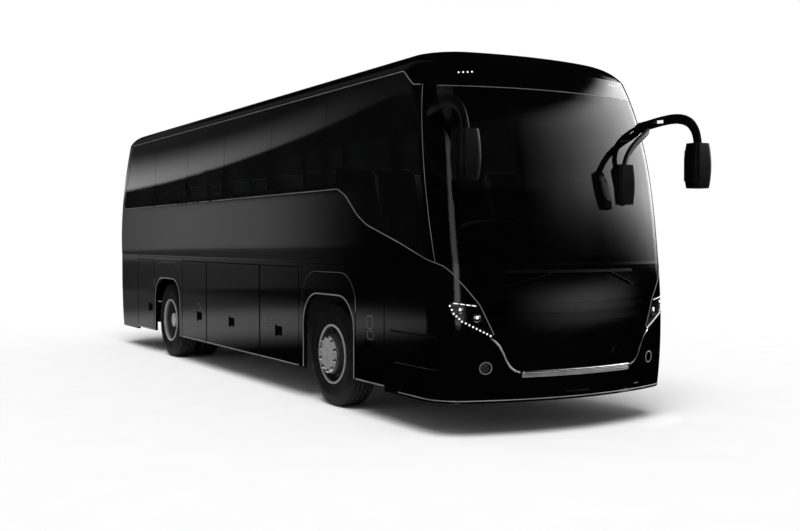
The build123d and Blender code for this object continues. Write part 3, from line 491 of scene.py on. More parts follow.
# Rims of the small flaps: flap, place from the front axle, height, half width, half height, corner.
# Without a corner a rim is round.
rimRows = [("service_flap_right", 0.897, 0.91, 0.065, 0.065, 0.03),
           ("service_flap_right", 0.916, 0.79, 0.065, 0.0455, 0.04)]
for sideName in sides:
    rimRows += [(f"hatch_{sideName}_1", -3.876, 0.788, 0.06, 0.06, None),
                (f"hatch_{sideName}_3", -1.458, 0.763, 0.06, 0.06, None)]
for number, (flapName, ahead, z, halfX, halfZ, corner) in enumerate(rimRows, 1):
    halfX -= stripLook["rimIn"]
    halfZ -= stripLook["rimIn"]
    x = frontAxle + ahead
    if corner:
        square = ((0, 1), (1, 1), (1, -1), (-1, -1), (-1, 1), (0, 1))
        loop = roundPath([(x + a * halfX, z + b * halfZ) for a, b in square], corner)
    else:
        loop = ringPath(x, z, halfX, halfZ, stripLook["rimSides"])
    bm = bmesh.new()
    sideStrip(bm, loop, sideOf(flapName), stripLook["rimWidth"], stripLook["sealProud"], stripLook["rimStep"])
    finishPiece(f"flap_rim_{number}", bm, "trimAndPaintedHighlight", flapName)
print("trim lines laid")

# Front: chrome bar, chrome bow up to the lamps, lamp beads, marker beads
frontLook = {"barHalf": 0.59, "barZ": 0.558, "barWidth": 0.028, "barProud": 0.014, "lowBarZ": 0.526,
             "lowBarWidth": 0.034, "bowWidth": 0.016, "bowProud": 0.008, "lineWidth": 0.006,
             "lineProud": 0.003, "step": 0.03, "turnFrom": 1.3, "turnReach": 4, "bumperZ": 0.322,
             "bumperWidth": 0.009, "bumperTurn": 84, "bumperStep": 3}
ledLook = {"beadRadius": 0.008, "beadRise": 0.005, "beadStep": 0.034, "markerRadius": 0.008,
           "markerRise": 0.006, "markerStep": 0.04, "dashes": 4, "dashSpan": (0.1, 0.85), "dashWidth": 0.008,
           "dashProud": 0.004, "dashStep": 0.01, "reflectorRise": 0.004, "highlightShare": 0.42, "highlightUp": 0.2,
           "highlightOut": 0.003}
fogLook = {"y": 0.91, "z": 0.6, "radius": 0.05, "sides": 32, "width": 0.008, "proud": 0.005}
bowLine = [(0.61, 0.556), (0.66, 0.572), (0.70, 0.605), (0.735, 0.66), (0.765, 0.725), (0.80, 0.785),
           (0.845, 0.832), (0.875, 0.85)]
lampLowEdge = [(1.182, 1.125), (1.16, 1.06), (1.105, 0.995), (0.875, 0.872)]
lampTopEdge = [(1.165, 1.148), (0.985, 1.122)]
reflectors = [(1.115, 1.088, 0.026), (0.985, 1.02, 0.034)]
noseLine = [(1.13, 1.352), (1.11, 1.325), (0.96, 1.13), (0.846, 0.88)]
cornerTurns = [(57.5, 1.46), (55.7, 1.43), (54, 1.393)]
screenLine = [(-1.1, 3.005), (1.1, 3.005)]
markerLine = [(0.78, 3.14), (0.9, 3.13)]
domeSides = 12
domeStages = ((1.0, -0.3), (1.0, 0.2), (0.75, 0.75), (0.35, 1.0))


def addDome(bm, place, normal, radius, rise):
    across = normal.orthogonal().normalized()
    beside = normal.cross(across)
    rings = []
    for share, height in domeStages:
        ring = []
        for i in range(domeSides):
            turn = math.tau * i / domeSides
            ring.append(place + (across * math.cos(turn) + beside * math.sin(turn)) * radius * share
                        + normal * rise * height)
        rings.append(ring)
    addRings(bm, rings)


# A hit on the bowed front, by its turn about an upright line behind the nose
def cornerHit(turn, z):
    ray = Vector((math.cos(math.radians(turn)), math.sin(math.radians(turn)), 0))
    start = Vector((frontAxle + frontLook["turnFrom"], 0, z)) + ray * frontLook["turnReach"]
    return skin.ray_cast(start, -ray)[:2]


def frontStrip(bm, line, side, width, proud, step=frontLook["step"]):
    layStrip(bm, [frontHit(side * y, z) for y, z in alongPath(line, step)], width, proud)


bm = bmesh.new()
half = frontLook["barHalf"]
bar, lowBar = ([(-half, z), (half, z)] for z in (frontLook["barZ"], frontLook["lowBarZ"]))
frontStrip(bm, bar, 1, frontLook["barWidth"], frontLook["barProud"])
for side in sides.values():
    frontStrip(bm, bowLine, side, frontLook["bowWidth"], frontLook["bowProud"])
finishPiece("bumper_chrome", bm, "chrome", "body")

bm = bmesh.new()
frontStrip(bm, lowBar, 1, frontLook["lowBarWidth"], frontLook["bowProud"])
frontStrip(bm, screenLine, 1, frontLook["lineWidth"], frontLook["lineProud"])
for sideName, side in sides.items():
    line = []
    if sideName == "right":
        line = [sideHit(x, z, side) for x, z in alongPath([kneeLine[-1], pillarLine[1]], stripLook["step"])]
    line += [cornerHit(side * turn, z) for turn, z in cornerTurns]
    line += [frontHit(side * y, z) for y, z in alongPath(noseLine, frontLook["step"])]
    layStrip(bm, line, frontLook["lineWidth"], frontLook["lineProud"])
bumperTurns = range(-frontLook["bumperTurn"], frontLook["bumperTurn"] + 1, frontLook["bumperStep"])
edge = [cornerHit(turn, frontLook["bumperZ"]) for turn in bumperTurns]
layStrip(bm, edge, frontLook["bumperWidth"], frontLook["lineProud"])
finishPiece("front_lines", bm, "trimAndPaintedHighlight", "body")

bm = bmesh.new()
for side in sides.values():
    for y, z in alongPath(lampLowEdge, ledLook["beadStep"]):
        addDome(bm, *frontHit(side * y, z), ledLook["beadRadius"], ledLook["beadRise"])
    for y, z in alongPath(markerLine, ledLook["markerStep"]):
        addDome(bm, *frontHit(side * y, z), ledLook["markerRadius"], ledLook["markerRise"])
    (y0, z0), (y1, z1) = lampTopEdge
    for i in range(ledLook["dashes"]):
        shares = [(i + end) / ledLook["dashes"] for end in ledLook["dashSpan"]]
        dash = [(y0 + (y1 - y0) * share, z0 + (z1 - z0) * share) for share in shares]
        frontStrip(bm, dash, side, ledLook["dashWidth"], ledLook["dashProud"], ledLook["dashStep"])
finishPiece("lamp_beads", bm, "ledAndHighlightGlow", "body")

bm = bmesh.new()
for side in sides.values():
    for y, z, radius in reflectors:
        addDome(bm, *frontHit(side * y, z), radius, ledLook["reflectorRise"])
finishPiece("lamp_reflectors", bm, "chrome", "body")

# Painted highlights: small glowing domes on the lamp reflectors stand in for the glints of light in them
bm = bmesh.new()
for side in sides.values():
    for y, z, radius in reflectors:
        place, normal = frontHit(side * y, z + radius * ledLook["highlightUp"])
        addDome(bm, place + normal * ledLook["highlightOut"], normal, radius * ledLook["highlightShare"],
                ledLook["reflectorRise"])
finishPiece("lamp_painted_highlights", bm, "ledAndHighlightGlow", "body")

bm = bmesh.new()
for side in sides.values():
    ring = ringPath(side * fogLook["y"], fogLook["z"], fogLook["radius"], fogLook["radius"], fogLook["sides"])
    layStrip(bm, [frontHit(y, z) for y, z in ring], fogLook["width"], fogLook["proud"])
finishPiece("fog_rings", bm, "trimAndPaintedHighlight", "body")
print("front trim laid")

# Latches in the pockets of the side flaps
latchLook = {"size": (0.17, 0.1), "corner": 0.02, "depth": 0.009, "z": 0.67, "sunk": 0.012,
             "gripOut": 0.006, "gripSize": (0.06, 0.035), "gripCorner": 0.012, "gripDepth": 0.005}
latchPlaces = {"service_flap_right": frontAxle + 0.895, "engine_flap_right": rearAxle - 0.805}
for sideName in sides:
    for number, ahead in ((1, -3.86), (2, -2.681), (3, -1.2305)):
        latchPlaces[f"hatch_{sideName}_{number}"] = frontAxle + ahead
padStages = ((0, -0.2), (0, 0.6), (0.25, 0.9), (0.6, 1.0))
padSteps = 5


# A pad with round corners, drawn in towards its top
def addPad(bm, origin, along, across, out, size, corner, depth):
    rings = []
    for shrink, height in padStages:
        reachA, reachB = (extent / 2 - corner * shrink - corner for extent in size)
        ring = []
        for quarter, (signA, signB) in enumerate(((1, 1), (-1, 1), (-1, -1), (1, -1))):
            for i in range(padSteps + 1):
                turn = math.pi / 2 * (quarter + i / padSteps)
                a = signA * reachA + corner * math.cos(turn)
                b = signB * reachB + corner * math.sin(turn)
                ring.append(origin + along * a + across * b + out * depth * height)
        rings.append(ring)
    addRings(bm, rings)


for flapName, x in latchPlaces.items():
    side = sideOf(flapName)
    bm = bmesh.new()
    place = Vector((x, side * (halfWidth - latchLook["sunk"]), latchLook["z"]))
    out = Vector((0, side, 0))
    addPad(bm, place, forward, up, out, latchLook["size"], latchLook["corner"], latchLook["depth"])
    addPad(bm, place + out * latchLook["gripOut"], forward, up, out, latchLook["gripSize"],
           latchLook["gripCorner"], latchLook["gripDepth"])
    finishPiece(f"latch_{flapName}", bm, "seal", flapName)
print("latches set:", len(latchPlaces))

# Tyres with road tread
tyreLook = {"radius": 0.525, "width": 0.295, "bead": 0.290, "seatIn": 0.027, "shoulderIn": 0.03,
            "widest": 0.8, "round": 0.024, "lean": 74, "sideSteps": 16, "soften": 0.008, "sideIn": 0.001,
            "ribR": 0.452, "ribHalf": 0.008, "ribOut": 0.0015, "shoulderSteps": 5, "grooves": (0.072, 0.026),
            "grooveHalf": 0.006, "grooveFoot": 0.6, "grooveDepth": 0.011, "segments": 240, "waves": 60,
            "zigzag": 0.004, "notch": 0.007, "notchFrom": 0.09, "notchEase": 0.02}


def sideOut(r):
    tyreHalf = tyreLook["width"] / 2
    widestR = tyreLook["widest"] * tyreLook["radius"]
    if r < widestR:
        share = (r - tyreLook["bead"]) / (widestR - tyreLook["bead"])
        return tyreHalf - tyreLook["seatIn"] * (1 - share)
    return tyreHalf - tyreLook["shoulderIn"] * (r - widestR) / (tyreLook["radius"] - widestR)


# Half a section from the bead to the middle of the tread: out, radius, kind
def halfProfile():
    radius = tyreLook["radius"]
    lean = math.radians(tyreLook["lean"])
    low = radius - tyreLook["round"] * (1 - math.cos(lean))
    points = [(sideOut(tyreLook["bead"]), tyreLook["bead"], "side")]
    for i in range(1, tyreLook["sideSteps"]):
        r = tyreLook["bead"] + (low - tyreLook["bead"]) * i / tyreLook["sideSteps"]
        out = sum(sideOut(r + shift) for shift in (-tyreLook["soften"], 0, tyreLook["soften"])) / 3
        rib = tyreLook["ribOut"] if abs(r - tyreLook["ribR"]) < tyreLook["ribHalf"] else 0
        points.append((out + rib - tyreLook["sideIn"], r, "side"))
    centre = sideOut(low) - tyreLook["round"] * math.sin(lean)
    for i in range(tyreLook["shoulderSteps"] + 1):
        turn = lean * (1 - i / tyreLook["shoulderSteps"])
        points.append((centre + tyreLook["round"] * math.sin(turn),
                       radius - tyreLook["round"] * (1 - math.cos(turn)), "shoulder"))
    deep = radius - tyreLook["grooveDepth"]
    for groove in tyreLook["grooves"]:
        wide = tyreLook["grooveHalf"]
        narrow = wide * tyreLook["grooveFoot"]
        points += [(groove + wide, radius, "tread"), (groove + narrow, deep, "tread"),
                   (groove - narrow, deep, "tread"), (groove - wide, radius, "tread")]
    return points


def addTyre(bm, x, y):
    outer = halfProfile()
    profile = outer + [(-out, r, kind) for out, r, kind in reversed(outer)]
    rings = []
    for i in range(tyreLook["segments"]):
        turn = math.tau * i / tyreLook["segments"]
        phase = (i * tyreLook["waves"] / tyreLook["segments"]) % 1
        sway = tyreLook["zigzag"] * (4 * abs(phase - 0.5) - 1)
        ring = []
        for out, r, kind in profile:
            past = abs(out) - tyreLook["notchFrom"]
            if kind == "tread":
                out += sway
            if kind == "shoulder" and phase >= 0.5 and past > 0:
                r -= tyreLook["notch"] * min(1.0, past / tyreLook["notchEase"])
            ring.append(Vector((x + r * math.cos(turn), y + out, axleZ + r * math.sin(turn))))
        rings.append(ring)
    made = addRings(bm, rings, caps=False)
    first = made[0]
    last = made[-1]
    for i in range(len(profile)):
        bm.faces.new((last[i - 1], last[i], first[i], first[i - 1]))


wheelY = 1.093
twinSpacing = 0.34
for sideName, side in (("left", 1), ("right", -1)):
    bm = bmesh.new()
    addTyre(bm, frontAxle, side * wheelY)
    tyre = finishPiece(f"tread_front_{sideName}", bm, "tyre", f"wheel_front_{sideName}")
    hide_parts(f"tyre_front_{sideName}")
    bm = bmesh.new()
    addTyre(bm, rearAxle, side * wheelY)
    addTyre(bm, rearAxle, side * (wheelY - twinSpacing))
    tyre = finishPiece(f"treads_rear_{sideName}", bm, "tyre", f"wheel_rear_{sideName}")
    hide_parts(f"tyres_rear_{sideName}")
print("tyres treaded")

# Wheel nuts, set on the rims by rays from outside
nutLook = {"count": 10, "circle": 0.1675, "across": 0.017, "height": 0.02, "washer": 0.021, "sides": 24}
# From the washer to the stud: radius, height, whether the stage has six flats
nutR, nutHigh = nutLook["across"], nutLook["height"]
nutStages = ((nutLook["washer"], -0.003, False), (nutLook["washer"], 0.004, False), (nutR, 0.0045, True),
             (nutR, nutHigh * 0.8, True), (nutR * 0.8, nutHigh, False), (nutR * 0.5, nutHigh, False),
             (nutR * 0.45, nutHigh * 1.3, False))


def addNut(bm, place, out):
    rings = []
    for radius, height, hasFlats in nutStages:
        ring = []
        for i in range(nutLook["sides"]):
            turn = math.tau * i / nutLook["sides"]
            flat = 1.0
            if hasFlats:
                flat = math.cos(math.pi / 6) / math.cos((turn % (math.pi / 3)) - math.pi / 6)
            spoke = forward * math.cos(turn) + up * math.sin(turn)
            ring.append(place + spoke * radius * flat + out * height)
        rings.append(ring)
    addRings(bm, rings)


# Painted shade in the rims' recessed dish: its colour, and the radii where it fades in and out
dishShadeLook = {"shade": (0.055, 0.055, 0.057, 1), "inner": (0.180, 0.186), "outer": (0.276, 0.282)}
# A mix node's factor and its two colours, and the colour it gives
mixSockets = (0, 6, 7)
mixResult = 2


# Bright metal with painted shade: a dark ring on the recessed dish between the hub and the flange
def makeRim(rimName, x):
    mat = makeFinish(f"finish_{rimName}", finishLooks["alloy"])
    tree = mat.node_tree
    shader = tree.nodes["Principled BSDF"]
    bright = shader.inputs["Base Color"].links[0].from_socket
    centre = nodes[rimName].matrix_world.inverted() @ Vector((x, 0, axleZ))
    place = splitPlace(tree)
    ahead = mathOf(tree, "SUBTRACT", place["X"], centre.x)
    above = mathOf(tree, "SUBTRACT", place["Z"], centre.z)
    squares = [mathOf(tree, "MULTIPLY", leg, leg) for leg in (ahead, above)]
    radius = mathOf(tree, "POWER", mathOf(tree, "ADD", *squares), 0.5)
    ring = mathOf(tree, "MULTIPLY", easeOf(tree, radius, *dishShadeLook["inner"], 0.0, 1.0),
                  easeOf(tree, radius, *dishShadeLook["outer"], 1.0, 0.0))
    blend = addNode(tree, "ShaderNodeMix", data_type="RGBA")
    factor, first, second = (blend.inputs[i] for i in mixSockets)
    tree.links.new(ring, factor)
    tree.links.new(bright, first)
    second.default_value = dishShadeLook["shade"]
    tree.links.new(blend.outputs[mixResult], shader.inputs["Base Color"])
    return mat


for sideName, side in (("left", 1), ("right", -1)):
    out = Vector((0, side, 0))
    for place, rims, x in (("front", "rim", frontAxle), ("rear", "rims", rearAxle)):
        rimName = f"{rims}_{place}_{sideName}"
        rimTree = skinTree([rimName])
        bm = bmesh.new()
        for i in range(nutLook["count"]):
            turn = math.tau * (i + 0.5) / nutLook["count"]
            start = Vector((x + nutLook["circle"] * math.cos(turn), side * raySide,
                            axleZ + nutLook["circle"] * math.sin(turn)))
            seat = rimTree.ray_cast(start, -out)[0]
            if seat:
                addNut(bm, seat, out)
        finishPiece(f"nuts_{place}_{sideName}", bm, "chrome", f"wheel_{place}_{sideName}")
        dressNode(rimName, makeRim(rimName, x))
print("wheel nuts set")

# Mirror glasses on the backs of the heads
mirrorTree = skinTree(["mirrors"])
mirrorLook = {"size": (0.16, 0.3), "corner": 0.03, "depth": 0.004, "behind": 2.25}
# Each head's middle and the size of its glass: y, z, share
mirrorPlaces = ((halfWidth, 2.355, 1.0), (-halfWidth, 2.355, 1.0), (0.5, 2.17, 0.85))
bm = bmesh.new()
for y, z, share in mirrorPlaces:
    seat = mirrorTree.ray_cast(Vector((frontAxle + mirrorLook["behind"], y, z)), forward)[0]
    if seat:
        addPad(bm, seat, Vector((0, 1, 0)), up, -forward, [extent * share for extent in mirrorLook["size"]],
               mirrorLook["corner"], mirrorLook["depth"])
finishPiece("mirror_glasses", bm, "mirrorGlass", "body")

# Seats: padded cushions and backs on hard shells
seatLook = {"rows": 10, "firstX": frontAxle + 0.06, "pitch": 0.775, "aisle": 0.19, "width": 0.47,
            "gap": 0.025, "deckZ": 1.44, "driver": (frontAxle + 1.19, -0.73, 0.95)}
seatPlaces = []
for row in range(seatLook["rows"]):
    x = seatLook["firstX"] - row * seatLook["pitch"]
    for side in sides.values():
        for k in (0, 1):
            y = seatLook["aisle"] + seatLook["width"] / 2 + k * (seatLook["width"] + seatLook["gap"])
            seatPlaces.append(Vector((x, side * y, seatLook["deckZ"])))
seatPlaces.append(Vector(seatLook["driver"]))

swellLook = {"voxel": 0.012, "pressure": 4.0, "frames": 20, "most": 0.014, "keep": 0.3, "seam": 0.006,
             "seamWidth": 0.012}
# Places across a seat's width, and the share of the outline there
softStages = ((-0.5, 0.8), (-0.47, 0.95), (-0.3, 1.0), (0.3, 1.0), (0.47, 0.95), (0.5, 0.8))


# A soft block between two side outlines, narrowed at its ends so that it can swell
def softBlock(name, outline, width):
    bm = bmesh.new()
    rings = []
    corners = [Vector((x, 0, z)) for x, z in outline]
    middle = sum(corners, Vector()) / len(corners)
    for share, shrink in softStages:
        beside = Vector((0, share * width, 0))
        rings.append([middle + (corner - middle) * shrink + beside for corner in corners])
    addRings(bm, rings)
    bmesh.ops.recalc_face_normals(bm, faces=bm.faces)
    return meshOf(name, bm)


def shapedMesh(piece):
    graph = bpy.context.evaluated_depsgraph_get()
    return bpy.data.meshes.new_from_object(piece.evaluated_get(graph))


def swell(mesh):
    soft = addObject("swelling", mesh)
    remesh = soft.modifiers.new("remesh", "REMESH")
    remesh.mode = "VOXEL"
    remesh.voxel_size = swellLook["voxel"]
    soft.data = shapedMesh(soft)
    soft.modifiers.clear()
    start = [v.co.copy() for v in soft.data.vertices]
    cloth = soft.modifiers.new("cloth", "CLOTH")
    cloth.settings.use_pressure = True
    cloth.settings.uniform_pressure_force = swellLook["pressure"]
    cloth.settings.effector_weights.gravity = 0
    for number in range(1, swellLook["frames"] + 1):
        bpy.context.scene.frame_set(number)
    swollen = shapedMesh(soft)
    soft.modifiers.clear()
    for v, old in zip(swollen.vertices, start):
        move = v.co - old
        if move.length > swellLook["most"]:
            v.co = old + move.normalized() * swellLook["most"]
    soft.data = swollen
    bpy.context.scene.frame_set(1)
    thin = soft.modifiers.new("thin", "DECIMATE")
    thin.ratio = swellLook["keep"]
    result = shapedMesh(soft)
    bpy.data.objects.remove(soft)
    return result


# Sewn channels: the surface is drawn in along lines across and along the pad
def sewChannels(mesh, lines, middle):
    for v in mesh.vertices:
        for axis, at in lines:
            near = math.exp(-((v.co[axis] - at) / swellLook["seamWidth"]) ** 2)
            v.co += (middle - v.co).normalized() * swellLook["seam"] * near


def repeatSoft(name, mesh, finish):
    bm = bmesh.new()
    for place in seatPlaces:
        before = len(bm.verts)
        bm.from_mesh(mesh)
        bm.verts.ensure_lookup_table()
        for v in bm.verts[before:]:
            v.co += place
    return finishPiece(name, bm, finish, "body")


def padSeats(name, look, outline):
    mesh = swell(softBlock(f"{name}_block", outline, seatLook["width"] - look["narrower"]))
    sewChannels(mesh, look["seams"], look["middle"])
    return repeatSoft(name, mesh, "fabric")


# Seams are pairs of an axis and a place on it
cushionLook = {"narrower": 0.03, "seams": ((1, 0.12), (1, -0.12), (0, 0.36)),
               "middle": Vector((0.26, 0, 0.37))}
cushionOutline = [(0.06, 0.325), (0.3, 0.33), (0.45, 0.345), (0.465, 0.39), (0.455, 0.435), (0.3, 0.428),
                  (0.11, 0.405), (0.06, 0.38)]
cushions = padSeats("seat_cushions", cushionLook, cushionOutline)
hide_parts("seats")

backLook = {"narrower": 0.04, "seams": ((1, 0.11), (1, -0.11), (2, 0.84)), "middle": Vector((-0.06, 0, 0.7))}
backOutline = [(0.085, 0.43), (0.03, 0.58), (-0.03, 0.76), (-0.075, 0.88), (-0.115, 0.99), (-0.16, 1.0),
               (-0.195, 0.97), (-0.15, 0.8), (-0.07, 0.52), (-0.01, 0.42)]
backs = padSeats("seat_backs", backLook, backOutline)

shellLook = {"narrower": 0.05}
shellOutline = [(0.02, 0.0), (0.3, 0.0), (0.3, 0.29), (0.44, 0.32), (0.44, 0.34), (0.02, 0.33), (-0.045, 0.5),
                (-0.2, 0.96), (-0.215, 0.955), (-0.07, 0.45), (-0.02, 0.31)]
shellMesh = softBlock("shell", shellOutline, seatLook["width"] - shellLook["narrower"])
repeatSoft("seat_shells", shellMesh, "seatShell")
print("seats padded:", len(seatPlaces))

# Studio: white floor and world, and a dark wall and carpet that only reflections see
def stagePiece(name, bm, mat):
    piece = addObject(name, meshOf(name, bm))
    piece.data.materials.append(mat)
    return piece


def onlyReflected(piece):
    piece.visible_camera = False
    piece.visible_diffuse = False
    piece.visible_transmission = False
    piece.visible_shadow = False


def glowMaterial(name):
    mat = bpy.data.materials.new(name)
    mat.use_nodes = True
    tree = mat.node_tree
    tree.nodes.clear()
    glow = addNode(tree, "ShaderNodeEmission")
    outlet = addNode(tree, "ShaderNodeOutputMaterial")
    tree.links.new(glow.outputs["Emission"], outlet.inputs["Surface"])
    place = splitPlace(tree)
    bearing = mathOf(tree, "ARCTAN2", place["Y"], place["X"])
    return mat, tree, glow, place, bearing


# A change over two bearings, given in degrees from straight ahead
def turnOf(tree, bearing, turns, low, high, way="SMOOTHSTEP"):
    start, end = (math.radians(turn) for turn in turns)
    return easeOf(tree, bearing, start, end, low, high, way)


# A level that fades on both sides of a bearing, from one distance to another
def nearOf(tree, bearing, at, fade, level):
    away = mathOf(tree, "ABSOLUTE", mathOf(tree, "SUBTRACT", bearing, math.radians(at)), 0.0)
    return turnOf(tree, away, fade, level, 0.0)


def productOf(tree, first, *others):
    for other in others:
        first = mathOf(tree, "MULTIPLY", first, other)
    return first


floorLook = {"reach": 90.0, "speck": 2.0, "shade": (0.985, 0.985, 0.985), "pale": (1, 1, 1)}


def makeFloor():
    mat, tree, shader = newMaterial("paleFloor")
    speck = noiseOf(tree, floorLook["speck"])
    tree.links.new(rampOf(tree, speck, floorLook["shade"], floorLook["pale"]), shader.inputs["Base Color"])
    shader.inputs["Roughness"].default_value = 1.0
    shader.inputs["Specular IOR Level"].default_value = 0.0
    bm = bmesh.new()
    reach = floorLook["reach"]
    bm.faces.new([bm.verts.new((x * reach, y * reach, 0)) for x, y in ((-1, -1), (1, -1), (1, 1), (-1, 1))])
    stagePiece("studio_floor", bm, mat)


# The nose's reflection, shared by wall and carpet: its bearing, fade, level, and share at the wall's foot
noseLook = {"at": 33.0, "fade": (0.0, 30.0), "glow": 0.95, "foot": 0.35, "rise": (0.0, 2.0),
            "head": (1.7, 3.6)}
wallLook = {"radius": 24.0, "high": 22.0, "sides": 96}
carpetLook = {"far": 0.1, "glow": 0.42, "rise": (-14.0, -8.5), "fall": (-6.5, -2.5), "beside": (-10.0, -6.0),
              "ahead": (12.0, 21.0), "gapX": 0.15, "gapY": 1.6, "z": 0.003}


def makeCarpet():
    mat, tree, glow, place, bearing = glowMaterial("carpetShade")
    rise = easeOf(tree, place["X"], *carpetLook["rise"], carpetLook["far"], carpetLook["glow"])
    rear = productOf(tree, rise, easeOf(tree, place["X"], *carpetLook["fall"], 1.0, 0.0),
                     easeOf(tree, place["Y"], *carpetLook["beside"], 0.0, 1.0))
    near = nearOf(tree, bearing, noseLook["at"], noseLook["fade"], noseLook["glow"] * noseLook["foot"])
    nose = productOf(tree, near, easeOf(tree, place["X"], *carpetLook["ahead"], 0.0, 1.0))
    tree.links.new(mathOf(tree, "ADD", rear, nose), glow.inputs["Strength"])
    bm = bmesh.new()
    far = wallLook["radius"]
    front = cadHigh[0] + carpetLook["gapX"]
    side = carpetLook["gapY"]
    for x0, x1, y0, y1 in ((-far, far, -far, -side), (front, far, -side, far), (-far, front, side, far)):
        corners = ((x0, y0), (x1, y0), (x1, y1), (x0, y1))
        bm.faces.new([bm.verts.new((x, y, carpetLook["z"])) for x, y in corners])
    onlyReflected(stagePiece("studio_carpet", bm, mat))


# Turns are bearings in degrees, foot and head are heights on the wall, and an edge is how soft it is
bandLook = {"glow": 0.36, "footGlow": 0.09, "foot": (0.96, 1.08), "riseTurns": (-170, -158), "riseFrom": 0.3,
            "fadeTurns": (-155, -145), "headTurns": (-164, -147), "head": (3.1, 4.15), "edge": 0.15}
paleLook = {"glow": 1.1, "turns": (-170, -145), "bend": 1.5, "foot": (3.4, 9.0), "edge": 0.2, "dimBy": 1.7,
            "dimTo": 0.04, "sinkTurns": (-166, -145), "sinkTo": 0.05}
cornerLook = {"glow": 2.0, "at": -33.0, "fade": (3.0, 9.0), "head": (13.0, 17.0)}
screenLook = {"glow": 5.5, "inTurns": (12, 84), "outTurns": (94, 108), "footTurns": (43, 85),
              "foot": (5.0, 1.4), "rise": 4.0, "head": (16.0, 21.0)}


# The band along the coach's side, lit between a level foot and a head that climbs
def bandGlow(tree, bearing, height):
    head = turnOf(tree, bearing, bandLook["headTurns"], *bandLook["head"], "LINEAR")
    return productOf(tree, easeOf(tree, height, *bandLook["foot"], bandLook["footGlow"], bandLook["glow"]),
                     easeOf(tree, mathOf(tree, "SUBTRACT", height, head), 0.0, bandLook["edge"], 1.0, 0.0),
                     turnOf(tree, bearing, bandLook["riseTurns"], bandLook["riseFrom"], 1.0),
                     turnOf(tree, bearing, bandLook["fadeTurns"], 1.0, 0.0))


# The pale zone over it, above an edge that bends upward
def paleGlow(tree, bearing, height):
    along = turnOf(tree, bearing, paleLook["turns"], 0.0, 1.0, "LINEAR")
    bent = mathOf(tree, "POWER", along, paleLook["bend"])
    above = mathOf(tree, "SUBTRACT", height, easeOf(tree, bent, 0.0, 1.0, *paleLook["foot"], "LINEAR"))
    return productOf(tree, easeOf(tree, above, 0.0, paleLook["edge"], 0.0, paleLook["glow"]),
                     easeOf(tree, above, paleLook["edge"], paleLook["dimBy"], 1.0, paleLook["dimTo"]),
                     turnOf(tree, bearing, paleLook["sinkTurns"], 1.0, paleLook["sinkTo"]))


# The upright light at the front corner
def cornerGlow(tree, bearing, height):
    return productOf(tree, nearOf(tree, bearing, cornerLook["at"], cornerLook["fade"], cornerLook["glow"]),
                     easeOf(tree, height, *cornerLook["head"], 1.0, 0.0))


# The light in the windscreen, with a foot that falls to the left
def screenGlow(tree, bearing, height):
    sill = turnOf(tree, bearing, screenLook["footTurns"], *screenLook["foot"], "LINEAR")
    return productOf(tree, turnOf(tree, bearing, screenLook["inTurns"], 0.0, screenLook["glow"]),
                     turnOf(tree, bearing, screenLook["outTurns"], 1.0, 0.0),
                     easeOf(tree, mathOf(tree, "SUBTRACT", height, sill), 0.0, screenLook["rise"], 0.0, 1.0),
                     easeOf(tree, height, *screenLook["head"], 1.0, 0.0))


# The low light in the nose panel
def noseGlow(tree, bearing, height):
    return productOf(tree, nearOf(tree, bearing, noseLook["at"], noseLook["fade"], noseLook["glow"]),
                     easeOf(tree, height, *noseLook["rise"], noseLook["foot"], 1.0),
                     easeOf(tree, height, *noseLook["head"], 1.0, 0.0))


def makeWall():
    mat, tree, glow, place, bearing = glowMaterial("wallShade")
    total = bandGlow(tree, bearing, place["Z"])
    for zone in (paleGlow, cornerGlow, screenGlow, noseGlow):
        total = mathOf(tree, "ADD", total, zone(tree, bearing, place["Z"]))
    tree.links.new(total, glow.inputs["Strength"])
    bm = bmesh.new()
    foot = []
    head = []
    for x, y in ringPath(0, 0, wallLook["radius"], wallLook["radius"], wallLook["sides"])[:-1]:
        foot.append(bm.verts.new((x, y, 0.0)))
        head.append(bm.verts.new((x, y, wallLook["high"])))
    for i in range(wallLook["sides"]):
        bm.faces.new((foot[i - 1], foot[i], head[i], head[i - 1]))
    bm.faces.new(head)
    onlyReflected(stagePiece("studio_wall", bm, mat))


lightLook = {"worldFill": 0.3, "sunFill": 0.82, "sunSpread": 42.0, "sunTilt": 30.0, "sunFrom": -35.0,
             "sunHigh": 12, "cabinSize": (5.0, 0.3), "cabinWatts": 220.0,
             "cabinPlace": (frontAxle - 2.7, 0, 3.1)}


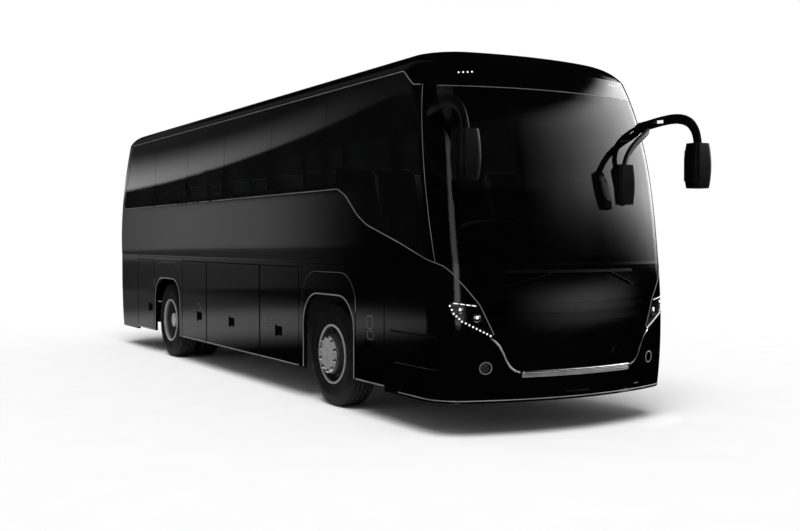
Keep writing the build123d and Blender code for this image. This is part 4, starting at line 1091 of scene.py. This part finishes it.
# White to the eye, in glass and in metal, and a plainer level for the light that falls on the coach
def makeWorld():
    world = bpy.data.worlds.new("studio")
    world.use_nodes = True
    tree = world.node_tree
    back = tree.nodes["Background"]
    back.inputs["Color"].default_value = (1, 1, 1, 1)
    path = addNode(tree, "ShaderNodeLightPath")
    seen = mathOf(tree, "MAXIMUM", path.outputs["Is Camera Ray"], path.outputs["Is Glossy Ray"])
    seen = mathOf(tree, "MAXIMUM", seen, path.outputs["Is Transmission Ray"])
    tree.links.new(easeOf(tree, seen, 0.0, 1.0, lightLook["worldFill"], 1.0), back.inputs["Strength"])
    bpy.context.scene.world = world


def makeSun():
    lampData = bpy.data.lights.new("overhead", "SUN")
    lampData.energy = lightLook["sunFill"] * math.pi
    lampData.angle = math.radians(lightLook["sunSpread"])
    lamp = addObject("overhead", lampData)
    lamp.location = (0, 0, lightLook["sunHigh"])
    lamp.rotation_euler = (0, math.radians(lightLook["sunTilt"]), math.radians(lightLook["sunFrom"]))
    lamp.visible_glossy = False


def makeCabinLamp():
    lampData = bpy.data.lights.new("cabin", "AREA")
    lampData.shape = "RECTANGLE"
    lampData.size, lampData.size_y = lightLook["cabinSize"]
    lampData.energy = lightLook["cabinWatts"]
    lamp = addObject("cabin", lampData)
    lamp.location = lightLook["cabinPlace"]
    lamp.visible_camera = False
    lamp.visible_glossy = False
    lamp.visible_transmission = False


makeFloor()
makeCarpet()
makeWall()
makeWorld()
makeSun()
makeCabinLamp()

cameraLook = {"place": (frontAxle + 9.51, -5.91, 1.67), "yaw": 150.05, "pitch": -1.36, "lens": 47.25,
              "sensor": 36.0}
cameraData = bpy.data.cameras.new("view")
cameraData.lens = cameraLook["lens"]
cameraData.sensor_width = cameraLook["sensor"]
camera = addObject("view", cameraData)
camera.location = cameraLook["place"]
yaw = math.radians(cameraLook["yaw"])
pitch = math.radians(cameraLook["pitch"])
gaze = Vector((math.cos(yaw) * math.cos(pitch), math.sin(yaw) * math.cos(pitch), math.sin(pitch)))
camera.rotation_euler = gaze.to_track_quat("-Z", "Y").to_euler()
bpy.context.scene.camera = camera
bpy.context.scene.view_settings.view_transform = "Standard"
print("studio set")
